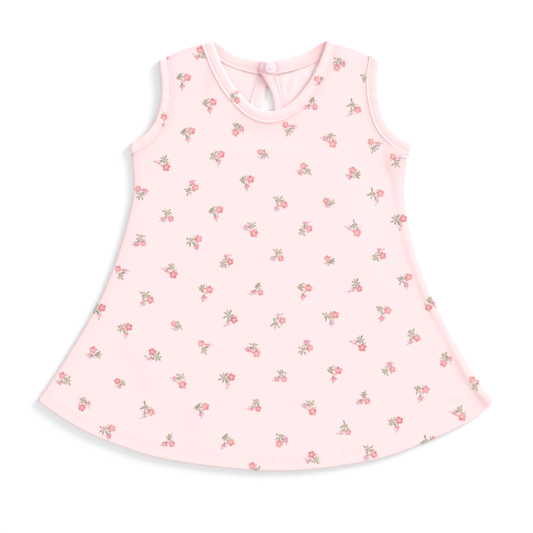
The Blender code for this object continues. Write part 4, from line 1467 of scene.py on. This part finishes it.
# Half of a folded strip's section, from the seam to the fold: share of the width from the
# fold, height on the side that is seen, height on the side that lies down
STRIP_SECTION = (
    (0.955, 0.36, 0.34),
    (0.990, 0.52, 0.60),
    (1.000, 0.72, 0.82),
    (0.994, 0.86, 0.93),
    (0.978, 0.95, 0.98),
    (0.955, 0.98, 1.00),
    (0.930, 0.98, 1.00),
    (0.905, 0.95, 1.00),
    (0.880, 0.91, 1.00),
    (0.850, 0.87, 1.00),
    (0.780, 0.88, 1.00),
    (0.660, 0.94, 1.00),
    (0.530, 1.00, 1.00),
    (0.400, 1.04, 1.00),
    (0.260, 1.05, 1.00),
    (0.150, 1.02, 0.98),
    (0.075, 0.95, 0.92),
    (0.028, 0.83, 0.80),
    (0.006, 0.66, 0.62),
)
FOLD_HEIGHT = 0.5
TURN_DEGREES = (72, 54, 36, 18, 0, -18, -36, -54, -72)
WAVE, SECOND_WAVE = 0.0105, 0.0173  # lengths of the soft waves along a binding
SECOND_WAVE_SHARE = 0.7
ARMHOLE_WAVES = 0.00010  # and their height
# Painted rosy shade on a strip at its seam, in the dip beside the bead and at its fold: how much,
# and where
SEAM_SPREAD = 0.020
DIP_PAINTED_SHADE, DIP_AT, DIP_SPREAD = 0.16, 0.77, 0.14
FOLD_PAINTED_SHADE, FOLD_SPREAD = 0.50, 0.06
ARMHOLE_PAINTED_SHADE = 0.35
# The painted rosy shadow line under the press stud, where the right leg's edge shades the left leg:
# its two ends, its depth and breadth, and its soft edge's
STUD_CREASE_SHADOW = ((-0.0086, 0.1764), (0.0016, 0.1584))
CREASE_SHADOW_DEPTH, CREASE_SHADOW_BREADTH = 0.75, 0.0010
CREASE_SHADOW_EDGE, CREASE_SHADOW_EDGE_BREADTH = 0.25, 0.0040
# Sprigs on a strip: place along and across, kind and turn
LEFT_ARMHOLE_SPRIGS = (
    (0.0443, -0.0074, "L", 0),
    (0.1020, -0.0128, "H", 0),
    (0.1280, 0.0060, "E", 200),
    (0.1650, 0.0040, "B", 110),
)
RIGHT_ARMHOLE_SPRIGS = (
    (0.1160, 0.0070, "A", 15),
    (0.1500, 0.0060, "C", 160),
    (0.2054, -0.0088, "H", 0),
)


def strip_section(seen_first):
    """A folded strip's whole section: shares across, and heights. Its first half is the right
    side, seen on the front of the dress and lying down on the back."""
    across, seen, lying = np.array(STRIP_SECTION).T
    first = seen * seen_first + lying * (1.0 - seen_first)
    second = 1.0 - (lying * seen_first + seen * (1.0 - seen_first))
    shares = np.concatenate([across, [0.0], across[::-1]])
    return shares, np.concatenate([first, [FOLD_HEIGHT], second[::-1]])


def flat_rings(folds, seams, fold_lows, seam_lows, front_side, waves=0.0):
    """Rings of a strip lying on one layer, with the heights under its fold and its seam."""
    shares, heights = strip_section(1.0 if front_side else 0.0)
    ups = heights if front_side else 1.0 - heights
    turns = 2 * math.pi * lengths_along(folds)[:, None]
    wave = np.sin(turns / WAVE) + SECOND_WAVE_SHARE * np.sin(turns / SECOND_WAVE + 1.0)
    fold_lows = np.broadcast_to(fold_lows, len(folds))[:, None]
    seam_lows = np.broadcast_to(seam_lows, len(folds))[:, None]
    places = folds[:, None] + (seams - folds)[:, None] * shares[:, None]
    lows = fold_lows + (seam_lows - fold_lows) * shares
    lift = waves * wave * ups * 4 * shares * (1 - shares)
    return np.dstack([places, lows + BINDING * ups + lift])


def turn_rings(fold, seam, outwards, front_first):
    """Rings round the turn where a strip passes from one layer of the dress to the other."""
    middle = FRONT_BINDING_TOP / 2
    rings = []
    for degrees in TURN_DEGREES:
        angle = math.radians(degrees if front_first else -degrees)
        shares, heights = strip_section(0.5 + 0.5 * math.sin(angle))
        radius = middle - BINDING / 2 + BINDING * (heights - 0.5)
        places = fold + (seam - fold) * shares[:, None]
        places += outwards * radius[:, None] * math.cos(angle)
        rings.append(np.column_stack([places, middle + radius * math.sin(angle)]))
    return np.array(rings)


def strip_object(name, rings, is_loop):
    """A folded strip through its rings, each corner's place along and across the cut strip,
    and the strip's length."""
    rows, count = rings.shape[:2]
    middle_line = rings.mean(axis=1)
    along = lengths_along(np.vstack([middle_line, middle_line[:1]]))
    across = lengths_along(rings[rows // 2])
    across -= across[count // 2]
    faces = []
    corners = []
    for i in range(rows if is_loop else rows - 1):
        here = i * count
        after = (i + 1) % rows * count
        for k in range(count - 1):
            faces.append((here + k, after + k, after + k + 1, here + k + 1))
            for row, column in ((i, k), (i + 1, k), (i + 1, k + 1), (i, k + 1)):
                corners.append((along[row], across[column]))
    piece = sheet_object(name, rings.reshape(-1, 3), faces)
    return piece, np.array(corners), along[-1 if is_loop else -2]


def thicken(piece):
    """Gives a strip its cloth's thickness, on the inside of its fold."""
    wall = piece.modifiers.new("cloth", "SOLIDIFY")
    wall.thickness = CLOTH_THICK
    wall.offset = -1.0
    bpy.context.view_layer.objects.active = piece
    bpy.ops.object.modifier_apply(modifier=wall.name)
    piece.data.shade_smooth()


def strip_sprigs(spots):
    """The sprigs on a strip, from a list of their places, kinds and turns."""
    found = []
    for i, (along, across, kind, degrees) in enumerate(spots):
        place = np.array((along, across))
        found.append(sprig_at(place, kind, math.radians(degrees), 3 * i + 1))
    return found


def paint_strip_shade(piece, rings, at_seam, shaded=0.0):
    """Paints rosy shade on the strip at its seam, in the dip beside the bead and at its fold, and
    along the shadow line under the press stud. shaded is more painted shade for each ring, where the
    strip lies under another edge."""
    shares = strip_section(1.0)[0]
    painted_shade = at_seam * np.exp(-(1.0 - shares) / SEAM_SPREAD)
    painted_shade += DIP_PAINTED_SHADE * bump(shares, DIP_AT, DIP_SPREAD)
    painted_shade += FOLD_PAINTED_SHADE * np.exp(-shares / FOLD_SPREAD)
    shaded = np.broadcast_to(shaded, len(rings))
    to_crease_shadow = distance(rings.reshape(-1, 3)[:, :2], np.array(STUD_CREASE_SHADOW))
    crease_shadow = CREASE_SHADOW_DEPTH * np.exp(-to_crease_shadow / CREASE_SHADOW_BREADTH)
    crease_shadow += CREASE_SHADOW_EDGE * np.exp(-to_crease_shadow / CREASE_SHADOW_EDGE_BREADTH)
    set_painted_shade(piece, (painted_shade + shaded[:, None]).ravel() + crease_shadow)


def make_armhole(name, strip, at_first, at_last, sprigs, node):
    edge, seam = strip.edge, strip.seam
    back_rings = flat_rings(edge, seam, 0.0, 0.0, False)[::-1]
    rings = np.concatenate(
        [
            flat_rings(edge, seam, FRONT_LOW, FRONT_LOW, True, ARMHOLE_WAVES),
            turn_rings(edge[-1], seam[-1], -at_last, True),
            back_rings,
            turn_rings(edge[0], seam[0], -at_first, False),
        ]
    )
    piece, corners, length = strip_object(name, rings, True)
    map_print(piece, corners, strip_sprigs(sprigs))
    paint_strip_shade(piece, rings, ARMHOLE_PAINTED_SHADE)
    piece.data.materials.append(PRINTED_JERSEY)
    thicken(piece)
    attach(piece, "root")
    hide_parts(node)


make_armhole(
    "armhole_strip_left",
    arm_left,
    beside_left,
    below_left,
    LEFT_ARMHOLE_SPRIGS,
    "armhole_binding_left",
)
make_armhole(
    "armhole_strip_right",
    arm_right,
    below_right,
    beside_right,
    RIGHT_ARMHOLE_SPRIGS,
    "armhole_binding_right",
)


# ---------------------------------------------------------------- neck binding
# One folded strip from its left end at the keyhole over both shoulders and round the front.
# Its right end laps over the left, and the press stud holds the two.
NECK_WAVES = 0.00006
END_ROUND = 0.0012  # a cut end is rounded off over this
# Share of that run, and share of the end's thickness there
END_PROFILE = ((0.45, 0.97), (0.80, 0.91), (1.0, 0.80))
END_THIN = 0.40  # the lapped end is pressed flat, to this share of its thickness
END_SINK = 0.0002  # and lies lower by this
END_RUN = 0.0060
END_LEAN = 0.0003  # the lapped end's seam lies lower than its fold by this
STUD_DENT = 0.0004  # the stud presses the lapped end down by this
DENT_RUN = 0.0025
# painted rosy shade at the neck binding's seam
NECK_PAINTED_SHADE = 0.35
UNDER_FRONT = 0.55  # painted rosy shade on the back stretch by its ends under the front, and the reaches
LEFT_REACH, RIGHT_REACH, RIGHT_SHARE = 0.016, 0.018, 1.6
END_PAINTED_SHADE, END_REACH = 0.7, 0.003  # painted rosy shade at the right end
LAP_PAINTED_SHADE, LAP_AT, LAP_REACH = 0.5, 0.0220, 0.0120  # painted rosy shade right of the stud
LAP_FROM_Y = 0.165
NECK_SPRIGS = (
    (0.0280, -0.0090, "B", 30),
    (0.0620, -0.0100, "D", 80),
    (0.1362, -0.0070, "N", 0),
    (0.1780, 0.0110, "E", 140),
    (0.2362, -0.0080, "P", 0),
    (0.3180, -0.0100, "C", 120),
)


def closed_end(last, towards):
    """Rings that round off a cut and turned-in end, beyond the last ring of a strip."""
    middle = last[:, 2].mean()
    found = []
    for share, depth in END_PROFILE:
        ring = last + (towards * END_ROUND * share, 0.0, 0.0)
        ring[:, 2] = middle + (last[:, 2] - middle) * depth
        found.append(ring)
    return np.array(found)


def pressed(rings):
    """The right end's rings, pressed flat where it laps and dented round the press stud."""
    x = neck_back_right.edge[::-1, 0]
    low = right_end_low(x)[:, None]
    full = swell(x - RIGHT_END, END_RUN)[:, None]
    from_stud = np.linalg.norm(rings[:, :, :2] - STUD_CENTRE, axis=2)
    dent = STUD_DENT * (1.0 - swell(from_stud - STUD_RADIUS - CLOTH_THICK / 2, DENT_RUN))
    height = rings[:, :, 2]
    dent = np.where(height > low + BINDING / 2, dent, 0.0)
    height = low + (height - low) * (END_THIN + (1.0 - END_THIN) * full)
    return np.dstack([rings[:, :, :2], height - END_SINK * (1.0 - full) - dent])


def neck_shade(rings):
    """How much painted rosy shade each ring on the back gets, near the front's edges, the lap and
    the stud.
    """
    middles = rings.mean(axis=1)
    x = middles[:, 0]
    lapped = (middles[:, 1] > LAP_FROM_Y) & (np.abs(x - LEFT_END) < LAP_RUN)
    on_back = (middles[:, 2] < FRONT_LOW) | lapped
    to_left = np.linalg.norm(middles[:, :2] - NECK_POINT_LEFT, axis=1)
    to_right = np.linalg.norm(middles[:, :2] - NECK_POINT_RIGHT, axis=1)
    shade = bump(to_left, 0.0, LEFT_REACH) + RIGHT_SHARE * bump(to_right, 0.0, RIGHT_REACH)
    shade += END_PAINTED_SHADE * bump(x, RIGHT_END, END_REACH)
    shade += LAP_PAINTED_SHADE * bump(x, LAP_AT, LAP_REACH)
    return UNDER_FRONT * np.where(on_back, shade, 0.0)


def make_neck():
    left, right, front_side = neck_back_left, neck_back_right, neck_front
    left_lows = left_end_low(left.edge[:, 0])
    right_lows = right_end_low(right.edge[:, 0])
    leaned = right_lows - END_LEAN * swell(right_lows, BINDING)
    left_rings = flat_rings(left.edge, left.seam, left_lows, left_lows, False)[::-1]
    right_rings = pressed(flat_rings(right.edge, right.seam, right_lows, leaned, False)[::-1])
    edge, seam = front_side.edge, front_side.seam
    rings = np.concatenate(
        [
            closed_end(left_rings[0], 1.0)[::-1],
            left_rings,
            turn_rings(edge[0], seam[0], -below_left, False),
            flat_rings(edge, seam, FRONT_LOW, FRONT_LOW, True, NECK_WAVES),
            turn_rings(edge[-1], seam[-1], -below_right, True),
            right_rings,
            closed_end(right_rings[-1], -1.0),
        ]
    )
    piece, corners, length = strip_object("neck_strip", rings, False)
    map_print(piece, corners, strip_sprigs(NECK_SPRIGS))
    paint_strip_shade(piece, rings, NECK_PAINTED_SHADE, neck_shade(rings))
    piece.data.materials.append(PRINTED_JERSEY)
    thicken(piece)
    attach(piece, "root")
    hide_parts("neck_binding")


make_neck()


# ---------------------------------------------------------------- keyhole binding
# A folded strip down one side of the slit, round its foot and up the other side. The right
# leg crosses over the left just under the neck.
# Painted rosy shade at the keyhole binding's seam, and more where the legs cross
KEYHOLE_PAINTED_SHADE = 0.20
CROSSING_PAINTED_SHADE = 0.12
CROSSING_LOW = 0.1540  # above this the legs cross, and get painted rosy shade
CROSSING_RUN = 0.0120
KEYHOLE_SPRIGS = ((0.0300, -0.0090, "H", 0),)


def make_keyhole():
    folds = keyhole_edge(SLIT_COLUMNS)
    stations = np.linspace(0.0, 1.0, min(len(keyhole_seam), len(folds)))
    folds, seams = (
        points_at(path, stations * lengths_along(path)[-1]) for path in (folds, keyhole_seam)
    )
    rows = np.array(KEYHOLE[::-1])
    fold_lows, seam_lows = (
        np.where(stations > 0.5, np.interp(folds[:, 1], rows[:, 0], rows[:, column]), 0.0)
        for column in (SLIT_LOW, SEAM_LOW)
    )
    rings = flat_rings(folds, seams, fold_lows, seam_lows, False)[::-1]
    piece, corners, length = strip_object("keyhole_strip", rings, False)
    map_print(piece, corners, strip_sprigs(KEYHOLE_SPRIGS))
    crossing = swell(rings[:, :, 1].mean(axis=1) - CROSSING_LOW, CROSSING_RUN)
    paint_strip_shade(piece, rings, KEYHOLE_PAINTED_SHADE, CROSSING_PAINTED_SHADE * crossing)
    piece.data.materials.append(JERSEY_INSIDE)
    thicken(piece)
    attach(piece, "root")
    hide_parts("keyhole_binding")


make_keyhole()


# ---------------------------------------------------------------- thread
# Pale pink polyester thread: two rows of cover stitch hold up the hem, and one row runs on
# the cloth beside each armhole binding.
THREAD_RADIUS = 0.00016
STITCH_LENGTH = 0.0026
STITCH_GAP = 0.0006
THREAD_SIDES = 5
# A stitch from end to end, in the thread's radius: height above the cloth, and half width
STITCH_HEIGHTS = (-1.0, 0.5, 0.75, 0.5, -1.0)
STITCH_WIDTHS = (0.55, 1.0, 1.0, 1.0, 0.55)
THREAD_COLOUR = (0.93, 0.78, 0.78)
THREAD_SHADE = 0.9
THREAD_ROUGH = 0.6
TWIST_SCALE = 900.0
AHEAD = 1e-5  # a little way along a line, to find its direction


def thread_material():
    material, tree, shader = new_material("pale pink thread", {"Roughness": THREAD_ROUGH})
    place = tree.nodes.new("ShaderNodeTexCoord")
    twist = tree.nodes.new("ShaderNodeTexWave")
    connect(twist.inputs["Scale"], TWIST_SCALE)
    connect(twist.inputs["Vector"], place.outputs["Object"])
    shade = [channel * THREAD_SHADE for channel in THREAD_COLOUR]
    colour = mixed(Number(twist.outputs["Fac"]), THREAD_COLOUR, shade)
    connect(shader.inputs["Base Color"], colour)
    return material


THREAD = thread_material()


def stitch_rings(line):
    """Rings of thread for the stitches end to end along a line on the cloth."""
    last = lengths_along(line)[-1] - 2 * STITCH_LENGTH
    starts = np.arange(STITCH_LENGTH, last, STITCH_LENGTH + STITCH_GAP)
    shares = np.linspace(0.0, 1.0, len(STITCH_HEIGHTS))
    runs = (starts[:, None] + STITCH_LENGTH * shares).ravel()
    points = points_at(line, runs)
    beside = right_of(unit_rows(points_at(line, runs + AHEAD) - points))
    heights = front_top(points) + np.tile(STITCH_HEIGHTS, len(starts)) * THREAD_RADIUS
    wide = np.tile(STITCH_WIDTHS, len(starts))[:, None] * THREAD_RADIUS
    angles = np.arange(THREAD_SIDES) * 2 * math.pi / THREAD_SIDES
    places = points[:, None] + beside[:, None] * (wide * np.cos(angles))[..., None]
    return np.dstack([places, heights[:, None] + wide * np.sin(angles)])


def stitches(name, lines):
    """One piece of all the stitches along some lines, with closed ends."""
    rings = np.concatenate([stitch_rings(line) for line in lines])
    around = range(THREAD_SIDES)
    faces = []
    for i in range(len(rings)):
        low = i * THREAD_SIDES
        high = low + THREAD_SIDES
        place = i % len(STITCH_HEIGHTS)
        if place == 0:
            faces.append(tuple(low + turn for turn in around)[::-1])
        if place == len(STITCH_HEIGHTS) - 1:
            faces.append(tuple(low + turn for turn in around))
            continue
        for turn in around:
            after = (turn + 1) % THREAD_SIDES
            faces.append((low + turn, low + after, high + after, high + turn))
    piece = sheet_object(name, rings.reshape(-1, 3), faces)
    turn_outwards(piece)
    piece.data.materials.append(THREAD)
    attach(piece, "root")


hem_inwards = right_of(unit_rows(np.gradient(hem, axis=0)))
stitches("hem_stitching", [hem + hem_inwards * depth for depth in HEM_ROWS])
beside_bindings = [strip.seam + strip.inwards * EDGE_ROW for strip in (arm_left, arm_right)]
stitches("armhole_stitching", beside_bindings)


# ---------------------------------------------------------------- press stud
# Two moulded halves in clear pink plastic. The outer one's head lies under the cloth, and its
# post goes up through both ends of the neck binding into the inner one, which is seen.
CAP = 0.0005
CAP_LOW = HEAD + GAP + BINDING + GAP + BINDING + GAP - STUD_DENT
STUD_SIDES = 72
STUD_PINKS = ((0.91, 0.75, 0.80), (0.89, 0.71, 0.77))
STUD_CLOUD, STUD_SCUFF = 420.0, 2500.0  # scales of the colour's and the gloss's noise
STUD_ROUGH, STUD_ROUGHER = 0.55, 0.75
STUD_GLOSS = {
    "Subsurface Weight": 0.4,
    "Subsurface Radius": (0.002, 0.0015, 0.0015),
    "Coat Weight": 0.05,
    "Specular IOR Level": 0.3,
}
# Radius as a share of the stud's, and height as a share of the cap's thickness
CAP_PROFILE = (
    *((0.34, 0.00), (0.96, 0.00), (1.00, 0.14), (0.99, 0.34), (0.96, 0.52), (0.92, 0.66)),
    *((0.87, 0.78), (0.82, 0.87), (0.76, 0.92), (0.70, 0.93), (0.66, 0.90), (0.61, 0.88)),
    *((0.56, 0.89), (0.52, 0.93), (0.47, 0.95), (0.38, 0.97), (0.28, 0.97), (0.22, 0.96)),
    *((0.17, 0.93), (0.08, 0.92), (0.00, 0.92)),
)
CAP_CENTRE = 0.001  # the radius at which the cap closes


def clear_plastic():
    material, tree, shader = new_material("clear pink plastic", STUD_GLOSS)
    place = tree.nodes.new("ShaderNodeTexCoord").outputs["Object"]
    connect(shader.inputs["Base Color"], mixed(noise(place, STUD_CLOUD)[0], *STUD_PINKS))
    scuff = noise(place, STUD_SCUFF)[0]
    connect(shader.inputs["Roughness"], scuff * (STUD_ROUGHER - STUD_ROUGH) + STUD_ROUGH)
    return material


STUD_PLASTIC = clear_plastic()


def make_stud():
    bpy.ops.mesh.primitive_circle_add(
        vertices=STUD_SIDES, radius=CAP_PROFILE[0][0] * STUD_RADIUS, fill_type="NGON"
    )
    piece = bpy.context.object
    piece.name = "stud_cap"
    bpy.ops.object.mode_set(mode="EDIT")
    bpy.ops.mesh.select_all(action="SELECT")
    for (radius, height), (next_radius, next_height) in zip(CAP_PROFILE, CAP_PROFILE[1:]):
        bpy.ops.mesh.extrude_region_move()
        bpy.ops.transform.translate(value=(0, 0, (next_height - height) * CAP))
        scale = max(next_radius, CAP_CENTRE) / radius
        bpy.ops.transform.resize(value=(scale, scale, 1))
    bpy.ops.mesh.select_all(action="SELECT")
    bpy.ops.mesh.normals_make_consistent(inside=False)
    bpy.ops.transform.translate(value=(*STUD_CENTRE, CAP_LOW))
    bpy.ops.object.mode_set(mode="OBJECT")
    bpy.ops.object.shade_smooth()
    piece.data.materials.append(STUD_PLASTIC)
    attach(piece, "root")
    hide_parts("snap_inner")
    piece.select_set(False)
    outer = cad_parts["snap_outer"]
    outer.data.materials.clear()
    outer.data.materials.append(STUD_PLASTIC)


make_stud()
